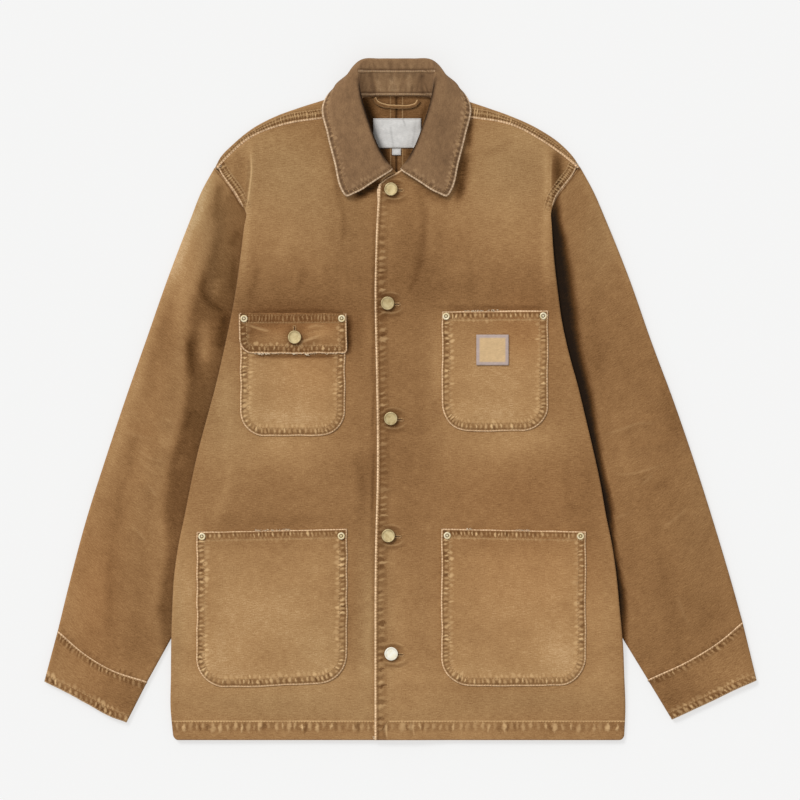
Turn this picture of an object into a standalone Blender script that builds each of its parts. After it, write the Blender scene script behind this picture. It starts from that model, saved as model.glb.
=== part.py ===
"""Chore jacket in washed duck canvas, laid flat on its back and buttoned.

Axes: +X to the viewer's right, +Y from the hem to the collar, +Z up from the surface it lies on.
Left and right are the wearer's, so the wearer's right lies at -X. All sizes below are millimetres
and become metres in the mesh helpers. Each piece of cloth is an open grid with a Solidify wall.
"""

import math
from typing import NamedTuple

import bmesh
import bpy
import numpy as np

MM = 0.001

# Cloth
WALL = 1.5  # one layer of canvas with its turned edges
COLLAR_WALL = 2.0
POCKET_WALL = 1.2
LABEL_WALL = 1.0
SEAM_GAP = 0.3  # between pieces sewn edge to edge
LAID_GAP = 0.6  # between a piece and the one that it lies on

# Body
HEM_Y = -402.0
CENTRE_X = -4.7  # the centre-back seam, and the line the collar is even about
BODY_HEIGHT = 6.4  # top of the fronts over the surface
HEM_HEIGHT = 5.8
SIDE_RISE = 3.3  # how much the fronts climb where they lie over the sleeves
SIDE_RISE_WIDTH = 78.0
OVERLAP_LIFT = 2.3  # the left front over the right one
OVERLAP_FALL = 54.0  # width over which it comes down past the right one
UNDERLAP_EDGE_X = 8.0
SEAM_TONGUE = 26.0  # the fronts end this far past the sleeve, at the side seam underneath

# Sleeves
SLEEVE_HEIGHT = 6.4
SLEEVE_INNER_HEIGHT = 3.8  # where a sleeve is pressed under the body
SLEEVE_SLOPE_WIDTH = 100.0
SLEEVE_TONGUE = 9.0
CUFF_HEIGHT = 6.2

# Pockets
POCKET_BELLY = 1.2
POCKET_SINK = 26.0  # length over which a pocket lies down to its edges

# Metal
BUTTON_RADIUS = 8.5
BUTTON_HEIGHT = 3.4
RIVET_RADIUS = 4.4
RIVET_HEIGHT = 1.8

ARMHOLE_SEAM_Z = 5.9  # at the shoulder
ARMHOLE_SEAM_FALL = 1.2  # down to the fold of the body
ARC = np.radians([45.0, 90.0, 135.0, 180.0])  # how a folded edge turns under
RIGHT, LEFT = -1, 1


class Level(NamedTuple):
    """One height up the body: outer edges of both sides, and how far the sleeve lies under."""

    y: float
    right: float
    left: float
    tuck: float


BODY_SIDES = [
    Level(-402.0, 268.0, 264.0, 0.0),
    Level(-367.0, 271.4, 265.6, 0.0),
    Level(-320.0, 271.0, 264.0, 0.0),
    Level(-282.0, 270.6, 262.2, 0.0),
    Level(-248.0, 269.5, 258.8, 18.0),
    Level(-212.0, 267.6, 255.4, 34.0),
    Level(-172.0, 262.2, 249.8, 40.0),
    Level(-130.0, 253.4, 241.3, 40.0),
    Level(-80.0, 243.4, 232.4, 40.0),
    Level(-36.0, 232.6, 221.6, 40.0),
    Level(0.0, 222.2, 213.8, 40.0),
    Level(34.0, 214.2, 204.4, 40.0),
    Level(72.0, 205.4, 194.6, 38.0),
    Level(106.0, 198.6, 188.4, 34.0),
    Level(141.0, 192.6, 184.2, 26.0),
    Level(176.0, 188.2, 180.4, 14.0),
    Level(200.0, 185.2, 178.9, 6.0),
    Level(219.0, 182.4, 178.0, 0.0),
]


class Place(NamedTuple):
    """A point on both sides: distance out from the middle, and height up the body."""

    right: float
    right_y: float
    left: float
    left_y: float


ARMHOLE = [  # visible armhole seam, from the fold of the body up to the shoulder point
    Place(182.4, 219.0, 178.0, 219.0),
    Place(189.0, 232.5, 183.0, 238.0),
    Place(198.2, 247.8, 192.0, 251.0),
    Place(209.5, 263.0, 203.0, 265.0),
    Place(218.8, 274.0, 211.2, 275.0),
]
SHOULDER = [  # outline of the shoulder, from the shoulder point up to the neck
    Place(218.8, 274.0, 211.2, 275.0),
    Place(212.5, 286.0, 204.5, 285.5),
    Place(198.8, 300.3, 190.6, 300.3),
    Place(174.0, 320.4, 161.1, 320.4),
    Place(146.9, 334.5, 130.4, 334.5),
    Place(120.9, 344.0, 104.4, 343.8),
    Place(91.4, 353.4, 86.0, 350.0),
    Place(70.0, 360.5, 66.0, 356.5),
]
SHOULDER_SEAM = [  # where the back, carried over the shoulder, is sewn down on the front
    Place(213.0, 277.0, 205.5, 277.8),
    Place(203.0, 287.5, 195.0, 286.0),
    Place(180.0, 308.6, 167.0, 306.3),
    Place(141.0, 323.9, 130.4, 324.6),
    Place(92.0, 332.2, 86.7, 332.5),
    Place(66.0, 336.0, 62.0, 336.0),
]
SLEEVE_OUTER = [  # outer outline of the sleeves, from the shoulder point to the cuff seam
    Place(219.6, 273.6, 212.0, 274.6),
    Place(234.2, 247.2, 227.1, 247.2),
    Place(248.4, 211.8, 242.5, 211.8),
    Place(275.5, 141.0, 270.8, 141.0),
    Place(300.3, 70.2, 295.6, 70.2),
    Place(325.1, -0.6, 322.0, -0.6),
    Place(348.7, -71.4, 346.3, -71.4),
    Place(371.1, -142.2, 368.8, -142.2),
    Place(390.0, -213.0, 390.0, -213.0),
    Place(404.6, -272.7, 403.8, -262.3),
]
CUFF_SEAM = [  # from the outer edge to the inner edge
    Place(404.6, -272.7, 403.8, -262.3),
    Place(371.6, -300.3, 379.4, -282.6),
    Place(340.9, -318.5, 343.5, -305.7),
    Place(298.8, -332.9, 291.8, -330.4),
]
CUFF_HEM = [
    Place(420.6, -332.9, 420.6, -331.6),
    Place(396.0, -345.0, 393.5, -343.5),
    Place(369.9, -359.3, 367.6, -356.2),
    Place(342.0, -374.5, 343.0, -367.5),
    Place(323.5, -381.5, 320.4, -378.0),
]

class PlacketRow(NamedTuple):
    """Where the left front's free edge runs."""

    y: float
    x: float


PLACKET = [
    PlacketRow(-402.0, -30.6),
    PlacketRow(-236.0, -30.6),
    PlacketRow(-90.0, -27.8),
    PlacketRow(-33.0, -27.8),
    PlacketRow(43.0, -29.0),
    PlacketRow(120.0, -30.7),
    PlacketRow(201.0, -28.8),
]
BACK_NECK_Y = 358.0
SIDE_ROWS = 17
ARMHOLE_ROWS = 7
SHOULDER_COUNT = 7
LIP_DROP = np.linspace(0.4, 2.0, 5)
SLEEVE_COLUMNS = 8
INNER_TONGUE = 5.5

NECKLINE = [  # edge of the fronts, from the meeting point under the collar out to the shoulder
    Place(8.0, 271.0, 1.0, 271.0),
    Place(33.0, 297.0, 25.0, 297.0),
    Place(50.0, 326.0, 43.0, 324.0),
    Place(66.0, 336.0, 62.0, 336.0),
]


class CollarSection(NamedTuple):
    """One cut across the collar: distance out from its middle line, height up the body, and z."""

    base_out: float
    base_y: float
    base_z: float
    roll_out: float
    roll_y: float
    roll_z: float
    middle_out: float
    middle_y: float
    middle_z: float
    knee_out: float
    knee_y: float
    knee_z: float
    edge_out: float
    edge_y: float
    edge_z: float


COLLAR = [  # from the meeting point round to the middle of the back
    CollarSection(4.5, 272.5, 11.0, 3.5, 271.0, 17.0, 22.0, 259.5, 16.0, 41.0, 247.0, 14.5, 60.0, 238.0, 12.2),
    CollarSection(17.0, 287.0, 11.0, 12.0, 285.5, 19.0, 33.0, 271.5, 18.0, 51.5, 259.0, 15.0, 66.0, 248.5, 12.2),
    CollarSection(29.0, 303.0, 11.0, 20.0, 301.0, 22.0, 41.0, 293.0, 20.0, 59.0, 287.0, 15.5, 73.5, 279.0, 11.8),
    CollarSection(40.0, 323.0, 11.0, 29.5, 326.5, 25.0, 48.0, 321.5, 22.0, 66.0, 318.0, 16.0, 82.0, 313.0, 11.4),
    CollarSection(50.0, 343.0, 10.4, 37.5, 352.0, 27.0, 55.0, 352.0, 23.0, 72.0, 352.5, 16.5, 87.6, 347.0, 11.0),
    CollarSection(45.0, 352.0, 7.5, 42.5, 374.0, 27.5, 59.0, 374.0, 23.0, 72.5, 370.0, 12.5, 76.0, 366.0, 3.5),
    CollarSection(38.0, 356.5, 5.4, 45.0, 390.0, 27.5, 55.0, 389.0, 20.5, 59.0, 384.0, 10.4, 57.0, 374.0, 3.0),
    CollarSection(30.0, 357.5, 4.8, 40.0, 401.5, 26.5, 43.0, 402.0, 18.0, 43.0, 399.0, 8.8, 41.0, 378.0, 3.0),
    CollarSection(15.0, 358.0, 4.6, 18.0, 403.6, 26.0, 19.0, 404.0, 17.0, 19.0, 401.0, 8.0, 19.0, 378.0, 3.0),
    CollarSection(0.0, 358.0, 4.6, 0.0, 403.6, 26.0, 0.0, 404.0, 17.0, 0.0, 401.0, 8.0, 0.0, 378.0, 3.0),
]


class Fold(NamedTuple):
    """A soft ridge, or a trough where height is negative, along a line on a panel."""

    x0: float
    y0: float
    x1: float
    y1: float
    width: float
    height: float


BODY_FOLDS = [
    Fold(-200.0, 190.0, -120.0, 130.0, 34.0, -1.0),
    Fold(60.0, 200.0, 130.0, 120.0, 40.0, 0.9),
    Fold(-60.0, 20.0, -110.0, -110.0, 34.0, 1.1),
    Fold(30.0, 40.0, 60.0, -130.0, 34.0, -0.9),
    Fold(120.0, -60.0, 190.0, -130.0, 36.0, 0.8),
]
SLEEVE_FOLDS = {
    RIGHT: [
        Fold(-222.0, 236.0, -262.0, 60.0, 15.0, 2.4),
        Fold(-262.0, 120.0, -300.0, -120.0, 16.0, 2.2),
        Fold(-300.0, -60.0, -352.0, -270.0, 18.0, 1.6),
        Fold(-330.0, -40.0, -262.0, -70.0, 11.0, 1.3),
    ],
    LEFT: [
        Fold(216.0, 240.0, 262.0, 80.0, 15.0, 1.8),
        Fold(268.0, 40.0, 330.0, -20.0, 11.0, 1.4),
        Fold(276.0, -20.0, 336.0, -60.0, 11.0, 1.4),
        Fold(300.0, -100.0, 356.0, -260.0, 20.0, 1.6),
    ],
}


class Pocket(NamedTuple):
    """A patch pocket: its corners, how round its lower ones are, and its front's side."""

    name: str
    side: int
    x0: float
    x1: float
    top_y: float
    bottom_y: float
    corner: float


POCKETS = [
    Pocket("chest_pocket_right", RIGHT, -189.0, -65.5, 102.0, -42.5, 29.0),
    Pocket("chest_pocket_left", LEFT, 48.8, 173.8, 104.5, -37.0, 31.0),
    Pocket("lower_pocket_right", RIGHT, -240.5, -63.0, -154.5, -338.0, 33.0),
    Pocket("lower_pocket_left", LEFT, 48.2, 218.6, -154.0, -338.0, 33.0),
]
FLAP_X = (-190.2, -63.5)
FLAP_Y = (54.5, 101.0)
FLAP_CORNER = 6.0
PATCH_X = (89.5, 127.5)
PATCH_Y = (40.5, 76.5)
LABEL_X = (-32.4, 24.4)
LABEL_Y = (297.0, 332.0)
TAG_X = (-10.0, 0.6)
TAG_Y = (288.5, 296.4)
LABEL_Z = 1.9
LOOP_ROUTE = [(-34.0, 352.0), (-31.0, 347.5), (-22.0, 345.4), (-2.0, 344.0), (14.0, 345.2), (20.0, 348.0), (21.5, 352.0)]
LOOP_RADIUS = 1.6
LOOP_Z = 3.5

BUTTONS = [(-11.3, 248.3), (-15.3, 113.6), (-11.6, -22.5), (-14.5, -160.6), (-11.0, -300.0)]
FLAP_BUTTON = (-125.0, 73.6)
RIVETS = [
    (-184.6, 95.4),
    (-69.4, 95.6),
    (53.8, 98.2),
    (168.4, 98.6),
    (-234.3, -161.6),
    (-70.0, -161.0),
    (55.2, -160.6),
    (212.4, -161.2),
]


# ---------------------------------------------------------------- curves and heights


def ease(t):
    """Smooth step from 0 to 1."""
    t = np.clip(t, 0.0, 1.0)
    return t * t * (3.0 - 2.0 * t)


def smooth(xs, ys, at):
    """Cubic curve through the rows of a table, with the slope at a row taken from its neighbours."""
    xs, ys = np.asarray(xs, float), np.asarray(ys, float)
    slopes = np.gradient(ys, xs)
    at = np.clip(at, xs[0], xs[-1])
    k = np.clip(np.searchsorted(xs, at) - 1, 0, len(xs) - 2)
    span = xs[k + 1] - xs[k]
    t = (at - xs[k]) / span
    return (
        (2 * t**3 - 3 * t**2 + 1) * ys[k]
        + (t**3 - 2 * t**2 + t) * span * slopes[k]
        + (3 * t**2 - 2 * t**3) * ys[k + 1]
        + (t**3 - t**2) * span * slopes[k + 1]
    )


def points_along(points, count):
    """Points spaced evenly by length on the smooth curve through the given ones."""
    points = np.asarray(points, float)
    steps = np.linalg.norm(np.diff(points, axis=0), axis=1)
    length = np.concatenate([[0.0], np.cumsum(steps)])
    at = np.linspace(0.0, length[-1], count)
    return np.stack([smooth(length, column, at) for column in points.T], axis=1)


def evenly(points, count):
    """Points spaced evenly by length on the straight runs between the given ones."""
    steps = np.linalg.norm(np.diff(points, axis=0), axis=1)
    length = np.concatenate([[0.0], np.cumsum(steps)])
    at = np.linspace(0.0, length[-1], count)
    return np.stack([np.interp(at, length, column) for column in points.T], axis=1)


def unit(vectors):
    return vectors / np.linalg.norm(vectors, axis=-1, keepdims=True)


def places(table, side):
    """One side's points of a two-sided table, as x and y."""
    if side == RIGHT:
        return np.array([(-row.right, row.right_y) for row in table])
    return np.array([(row.left, row.left_y) for row in table])


LEVEL_Y = [row.y for row in BODY_SIDES]


def body_edge(side, y):
    """Distance of the body's side fold from the middle."""
    return smooth(LEVEL_Y, [row.right if side == RIGHT else row.left for row in BODY_SIDES], y)


def tuck(y):
    """How far the sleeve reaches in under the body's side fold."""
    return np.interp(y, LEVEL_Y, [row.tuck for row in BODY_SIDES])


def fold_height(folds, x, y):
    """Sum of soft ridges: a bell across each fold's line, and a fade towards its ends."""
    total = np.zeros(np.broadcast(x, y).shape)
    for fold in folds:
        dx, dy = fold.x1 - fold.x0, fold.y1 - fold.y0
        length = math.hypot(dx, dy)
        along = ((x - fold.x0) * dx + (y - fold.y0) * dy) / length**2
        across = ((x - fold.x0) * dy - (y - fold.y0) * dx) / length
        fade = ease((along + 0.15) / 0.4) * ease((1.15 - along) / 0.4)
        total = total + fold.height * fade * np.exp(-((across / fold.width) ** 2))
    return total


def armhole_distance(side, x, y):
    """Distance outside the visible armhole seam, and the share of the way down it."""
    seam = places(ARMHOLE, side)
    low, high = seam[0], seam[-1]
    run = low - high
    length = np.hypot(*run)
    run = run / length
    away = (x - high[0]) * run[1] - (y - high[1]) * run[0]
    down = ((x - high[0]) * run[0] + (y - high[1]) * run[1]) / length
    return away * -side, np.clip(down, 0.0, 1.0)


def armhole_seam_height(down):
    return ARMHOLE_SEAM_Z - ARMHOLE_SEAM_FALL * down


def sleeve_inner(side, y):
    """Distance of the sleeve's inner edge from the middle, under the body or beside it."""
    hidden = body_edge(side, y) - tuck(y)
    end = places(CUFF_SEAM, side)[-1]
    start_y = -282.0
    start = body_edge(side, start_y)
    slope = (abs(end[0]) - start) / (start_y - end[1])
    return np.where(y < start_y, start + slope * (start_y - y), hidden)


def sleeve_top(side, x, y):
    """Height of a sleeve's upper face: low under the body, higher outside, down at the armhole."""
    inside = side * x - sleeve_inner(side, y)
    low = SLEEVE_INNER_HEIGHT + (CUFF_HEIGHT - SLEEVE_INNER_HEIGHT) * ease((-270.0 - y) / 60.0)
    plain = low + (SLEEVE_HEIGHT - low) * ease(inside / SLEEVE_SLOPE_WIDTH)
    shown = ease((side * x - body_edge(side, y) - 4.0) / 30.0)
    end = ease((y + 318.0) / 60.0)
    plain = plain + fold_height(SLEEVE_FOLDS[side], x, y) * shown * end
    away, down = armhole_distance(side, x, y)
    near = 1.0 - ease(away / 34.0)
    return plain * (1.0 - near) + armhole_seam_height(down) * near


def under_height(side, x, y):
    """Outer face of the cloth that the fronts turn under: over the sleeve, then down to the floor."""
    inside = side * x - (body_edge(side, y) - tuck(y))
    over = sleeve_top(side, side * np.maximum(side * x, body_edge(side, y) - tuck(y)), y) + LAID_GAP
    over = over * ease((y + 345.0) / 55.0)
    return over * (1.0 - ease((-2.5 - inside) / 14.0))


def body_top(x, y):
    """Height of the fronts' upper face, without the overlap."""
    side = np.where(x < 0.0, RIGHT, LEFT)
    edge = np.where(x < 0.0, body_edge(RIGHT, y), body_edge(LEFT, y))
    rise = ease((side * x - edge + 8.0 + SIDE_RISE_WIDTH) / SIDE_RISE_WIDTH) * ease((y + 372.0) / 110.0)
    plain = HEM_HEIGHT + (BODY_HEIGHT - HEM_HEIGHT) * ease((y - HEM_Y) / 60.0)
    calm = ease((edge - 14.0 - side * x) / 40.0)
    return plain + SIDE_RISE * rise * ease((250.0 - y) / 95.0) + fold_height(BODY_FOLDS, x, y) * calm


def front_top(side, x, y):
    """Height of one front's upper face; the left one is lifted where it laps the right one."""
    if side == RIGHT:
        return body_top(x, y)
    return body_top(x, y) + OVERLAP_LIFT * (1.0 - ease((x - UNDERLAP_EDGE_X) / OVERLAP_FALL))


# ---------------------------------------------------------------- meshes


def material(name, colour, roughness, metallic=0.0):
    made = bpy.data.materials.new(name)
    made.use_nodes = True
    shader = made.node_tree.nodes["Principled BSDF"]
    shader.inputs["Base Color"].default_value = (*colour, 1.0)
    shader.inputs["Roughness"].default_value = roughness
    shader.inputs["Metallic"].default_value = metallic
    return made


def add_object(name, mesh, finish):
    made = bpy.data.objects.new(name, mesh)
    mesh.materials.append(finish)
    mesh.shade_smooth()
    parts.objects.link(made)
    return made


def cloth(name, grid, wall, finish, probe=None, outer_down=False):
    """A piece of cloth from rows of points, its outer face on the points and its wall behind them.

    The grid is turned over where needed, so that at the cell `probe` its outer face looks up, or
    down for a piece whose outer face lies on the surface.
    """
    rows, columns = grid.shape[:2]
    i, j = probe or (rows // 2, columns // 2)
    normal = np.cross(grid[i, j + 1] - grid[i, j], grid[i + 1, j] - grid[i, j])
    if (normal[2] < 0.0) != outer_down:
        grid = grid[:, ::-1]
    shape = bmesh.new()
    bmesh.ops.create_grid(shape, x_segments=columns - 1, y_segments=rows - 1, size=1.0)
    mesh = bpy.data.meshes.new(name)
    shape.to_mesh(mesh)
    shape.free()
    mesh.vertices.foreach_set("co", (grid.reshape(-1, 3) * MM).astype(np.float32).ravel())
    made = add_object(name, mesh, finish)
    solid = made.modifiers.new("Wall", "SOLIDIFY")
    solid.thickness = wall * MM
    solid.offset = -1.0
    return made


def coons(bottom, top, start, end):
    """Grid between four edges: the blend of both pairs, less the blend of the corners."""
    u = np.linspace(0.0, 1.0, len(bottom))[None, :, None]
    v = np.linspace(0.0, 1.0, len(start))[:, None, None]
    between = (1 - v) * bottom[None] + v * top[None] + (1 - u) * start[:, None] + u * end[:, None]
    corners = (1 - u) * (1 - v) * bottom[0] + u * (1 - v) * bottom[-1] + (1 - u) * v * top[0] + u * v * top[-1]
    return between - corners


def with_height(flat, height):
    return np.concatenate([flat, height[..., None]], axis=-1)


def turned_under(edge, out, top, under):
    """Points of a folded edge that turns under, as a half circle from the top face to the under face.

    edge: outermost points; out: unit directions outwards; top, under: heights of the two faces.
    """
    radius = (top - under) / 2.0
    rows = []
    for angle in ARC:
        flat = edge + out * (radius * (math.sin(angle) - 1.0))[:, None]
        rows.append(with_height(flat, top - radius + radius * math.cos(angle)))
    return np.stack(rows, axis=1)


# ---------------------------------------------------------------- pieces


def shoulder_frame(side, count):
    """Shoulder outline from its point to the neck, unit directions outwards, and the seam on top."""
    outline = points_along(places(SHOULDER, side), count)
    tangent = unit(np.gradient(outline, axis=0))
    normal = side * np.stack([tangent[:, 1], -tangent[:, 0]], axis=1)
    armhole = places(ARMHOLE, side)
    along_armhole = unit(armhole[-1] - armhole[0])
    share = (1.0 - ease(np.arange(count) / 2.0))[:, None]
    out = unit(normal * (1.0 - share) + along_armhole * share)
    seam = points_along(places(SHOULDER_SEAM, side), count)
    return outline, out, seam


class FrontFrame(NamedTuple):
    """What a front and its back panel share: the front's outer edge and the turn under it."""

    edge: np.ndarray
    inner: np.ndarray
    out: np.ndarray
    top: np.ndarray
    under: np.ndarray
    start: np.ndarray
    reach: np.ndarray
    shoulder_seam: np.ndarray


def front_frame(side):
    """Outer and inner edges of a front, row by row from the hem to the shoulder point."""
    low_y = np.linspace(HEM_Y, 206.0, SIDE_ROWS)
    low = np.stack([side * body_edge(side, low_y), low_y], axis=1)
    outline, _, shoulder_seam = shoulder_frame(side, SHOULDER_COUNT)
    shoulder_seam = shoulder_seam - unit(outline - shoulder_seam) * SEAM_GAP * 2.8
    armhole = places(ARMHOLE, side)
    high = points_along(np.concatenate([armhole[:-1], shoulder_seam[:1]]), ARMHOLE_ROWS)
    edge = np.concatenate([low, high])

    inner_y = np.linspace(HEM_Y, 208.0, SIDE_ROWS)
    if side == RIGHT:
        inner_x = np.full(SIDE_ROWS, UNDERLAP_EDGE_X)
        corner = [[UNDERLAP_EDGE_X, 232.0], [UNDERLAP_EDGE_X, 254.0]]
    else:
        inner_x = np.interp(inner_y, [row.y for row in PLACKET], [row.x for row in PLACKET])
        corner = [[PLACKET[-1].x, 232.0], [PLACKET[-1].x + 3.0, 254.0]]
    neckline = places(NECKLINE, side)
    neckline[-1] = shoulder_seam[-1]
    neckline = points_along(neckline, ARMHOLE_ROWS - 2)
    inner = np.concatenate([np.stack([inner_x, inner_y], axis=1), corner, neckline])

    out = unit(edge - inner)
    out[-1] = unit(shoulder_seam[0] - shoulder_seam[1])
    near = edge - out * 5.0
    top = front_top(side, near[:, 0], near[:, 1])
    under = under_height(side, near[:, 0], near[:, 1])
    radius = (top - under) / 2.0
    start = edge - out * radius[:, None]
    depth = np.maximum(tuck(edge[:, 1]) - radius, 0.0)
    past = [0.5 * depth + 1.0, depth + 3.0, depth + 10.0, depth + 18.0, depth + SEAM_TONGUE]
    short = ease((222.0 - edge[:, 1]) / 60.0)
    reach = np.stack(past, axis=1) * short[:, None] + LIP_DROP[None, :]
    return FrontFrame(edge, inner, out, top, under, start, reach, shoulder_seam)


def make_front(side, finish):
    """A front: flat over the chest, folded round the side, and on underneath to the side seam.

    Above the fold of the body its outer edge is the armhole seam, where it only dips.
    """
    frame = front_frame(side)
    top_edge = np.concatenate([frame.shoulder_seam[:0:-1], frame.start[-1:]])
    bottom_edge = np.linspace(frame.inner[0], frame.start[0], SHOULDER_COUNT)
    flat = coons(bottom_edge, top_edge, frame.inner, frame.start)
    sheet = with_height(flat, front_top(side, flat[..., 0], flat[..., 1]))
    sheet[:, -1, 2] = frame.top

    fold = turned_under(frame.edge, frame.out, frame.top, frame.under)
    tongue_flat = frame.start[:, None] - frame.out[:, None] * frame.reach[..., None]
    tongue = with_height(tongue_flat, under_height(side, tongue_flat[..., 0], tongue_flat[..., 1]))

    _, down = armhole_distance(side, frame.edge[:, 0], frame.edge[:, 1])
    seam_z = armhole_seam_height(down)
    share = np.linspace(0.25, 1.0, len(ARC))
    dip_flat = frame.start[:, None] + (frame.edge - frame.start)[:, None] * share[None, :, None]
    dip = with_height(dip_flat, frame.top[:, None] + (seam_z - frame.top)[:, None] * share[None, :] ** 2)
    lip = with_height(np.repeat(frame.edge[:, None], len(LIP_DROP), axis=1), seam_z[:, None] - LIP_DROP)

    seamed = ease((np.arange(len(frame.edge)) - (SIDE_ROWS - 1.0)) / 2.0)[:, None, None]
    fold = fold * (1.0 - seamed) + dip * seamed
    tongue = tongue * (1.0 - seamed) + lip * seamed
    grid = np.concatenate([sheet, fold, tongue], axis=1)
    return cloth(f"front_{side_name(side)}", grid, WALL, finish, probe=(5, 4))


def make_back(side, finish):
    """A back panel: flat on the surface, and rolled over the shoulder edge to the shoulder seam."""
    frame = front_frame(side)
    low = (frame.start - frame.out * frame.reach[:, -1:])[:SIDE_ROWS]
    low[:, 0] -= side * SEAM_GAP
    outline, out, seam = shoulder_frame(side, SHOULDER_COUNT)
    radius = BODY_HEIGHT / 2.0
    armhole = places(ARMHOLE, side)
    armhole[:, 0] -= side * SEAM_GAP
    armhole[0, 0] -= side * 9.0
    armhole[-1] = outline[0] - out[0] * radius
    high = points_along(armhole, 4)
    edge = np.concatenate([low, high])

    centre_x = CENTRE_X + side * SEAM_GAP / 2.0
    centre = np.stack([np.full(len(edge), centre_x), np.linspace(HEM_Y, BACK_NECK_Y, len(edge))], axis=1)
    neck_x = centre_x + side * np.array([0.0, 22.0, 44.0])
    neck = np.stack([neck_x, np.full(3, BACK_NECK_Y)], axis=1)
    top_edge = np.concatenate([neck, outline[::-1]])
    out = np.concatenate([np.tile([0.0, 1.0], (3, 1)), out[::-1]])
    turn = np.array([0.3, 0.3, 0.4] + [1.0] * SHOULDER_COUNT)
    radius = np.array([2.5, 2.5, 3.5] + [radius] * SHOULDER_COUNT)
    start = top_edge - out * radius[:, None]
    bottom_edge = np.linspace([centre_x, HEM_Y], edge[0], len(start))
    centre[-1] = start[0]
    flat = coons(bottom_edge, start, centre, edge)
    sheet = with_height(flat, np.zeros(flat.shape[:2]))
    rows = []
    for angle in ARC:
        turned = angle * turn
        flat_row = top_edge + out * (radius * (np.sin(turned) - 1.0))[:, None]
        rows.append(with_height(flat_row, radius - radius * np.cos(turned)))
    sewn_down = rows[-1].copy()
    sewn_down[: len(neck), :2] += out[: len(neck)] * 0.7
    sewn_down[len(neck) :, :2] = seam[::-1]
    middle = (rows[-1] + sewn_down) / 2.0
    grid = np.concatenate([sheet, np.stack(rows + [middle, sewn_down])], axis=0)
    return cloth(f"back_{side_name(side)}", grid, WALL, finish, outer_down=True)


class SleeveFrame(NamedTuple):
    """A sleeve's two folded edges: outermost points, where the fold starts, and heights."""

    out: np.ndarray
    outer: np.ndarray
    outer_start: np.ndarray
    outer_top: np.ndarray
    inner: np.ndarray
    inner_start: np.ndarray
    inner_top: np.ndarray


def sleeve_frame(side, rows):
    """The sleeve's edges, row by row from the armhole to the cuff seam."""
    outer = points_along(places(SLEEVE_OUTER, side), rows)
    end = places(CUFF_SEAM, side)[-1]
    y = np.linspace(218.0, end[1], 40)
    inner_line = np.stack([side * sleeve_inner(side, y), y], axis=1)
    inner_line[0] = places(ARMHOLE, side)[0] + np.array([side * 0.6, -1.2])
    inner = points_along(inner_line, rows)
    out = unit(outer - inner)
    outer_top = sleeve_top(side, *(outer - out * 5.0).T)
    inner_top = sleeve_top(side, *(inner + out * 2.5).T)
    outer_start = outer - out * (outer_top / 2.0)[:, None]
    inner_start = inner + out * (inner_top / 2.0)[:, None]
    return SleeveFrame(out, outer, outer_start, outer_top, inner, inner_start, inner_top)


def make_sleeve(side, finish):
    """A top sleeve, folded under along both edges, from the armhole to the cuff seam."""
    rows = 20
    frame = sleeve_frame(side, rows)
    armhole = front_frame(side).edge[SIDE_ROWS:][::-1]
    armhole = armhole[2:-1] + np.array([side * 0.75, -0.5]) * SEAM_GAP * 2.0
    ends = frame.outer_start[:1], frame.inner_start[:1]
    top_edge = evenly(np.concatenate([ends[0], armhole, ends[1]]), SLEEVE_COLUMNS)
    cuff = places(CUFF_SEAM, side)
    ends = frame.outer_start[-1:], frame.inner_start[-1:]
    bottom_edge = points_along(np.concatenate([ends[0], cuff[1:-1], ends[1]]), SLEEVE_COLUMNS)
    flat = coons(top_edge, bottom_edge, frame.outer_start, frame.inner_start)
    sheet = with_height(flat, sleeve_top(side, flat[..., 0], flat[..., 1]))
    sheet[:, 0, 2], sheet[:, -1, 2] = frame.outer_top, frame.inner_top
    floor = np.zeros(rows)
    outer_fold = turned_under(frame.outer, frame.out, frame.outer_top, floor)
    inner_fold = turned_under(frame.inner, -frame.out, frame.inner_top, floor)
    outer_tongue = with_height(frame.outer_start - frame.out * SLEEVE_TONGUE, floor)[:, None]
    inner_tongue = with_height(frame.inner_start + frame.out * INNER_TONGUE, floor)[:, None]
    grid = np.concatenate([outer_tongue, outer_fold[:, ::-1], sheet, inner_fold, inner_tongue], axis=1)
    return cloth(f"sleeve_{side_name(side)}", grid, WALL, finish)


def make_undersleeve(side, finish):
    """The undersleeve: flat on the surface between the top sleeve's turned edges."""
    columns = 4
    frame = sleeve_frame(side, 20)
    start = frame.outer_start - frame.out * (SLEEVE_TONGUE + SEAM_GAP)
    end = frame.inner_start + frame.out * (INNER_TONGUE + SEAM_GAP)
    start, end = start[1:], end[1:]
    cuff = points_along(places(CUFF_SEAM, side), 30)
    bottom_edge = np.stack([start[-1], cuff[10], cuff[20], end[-1]])
    flat = coons(np.linspace(start[0], end[0], columns), bottom_edge, start, end)
    grid = with_height(flat, np.full(flat.shape[:2], WALL))
    return cloth(f"undersleeve_{side_name(side)}", grid, WALL, finish)


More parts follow.
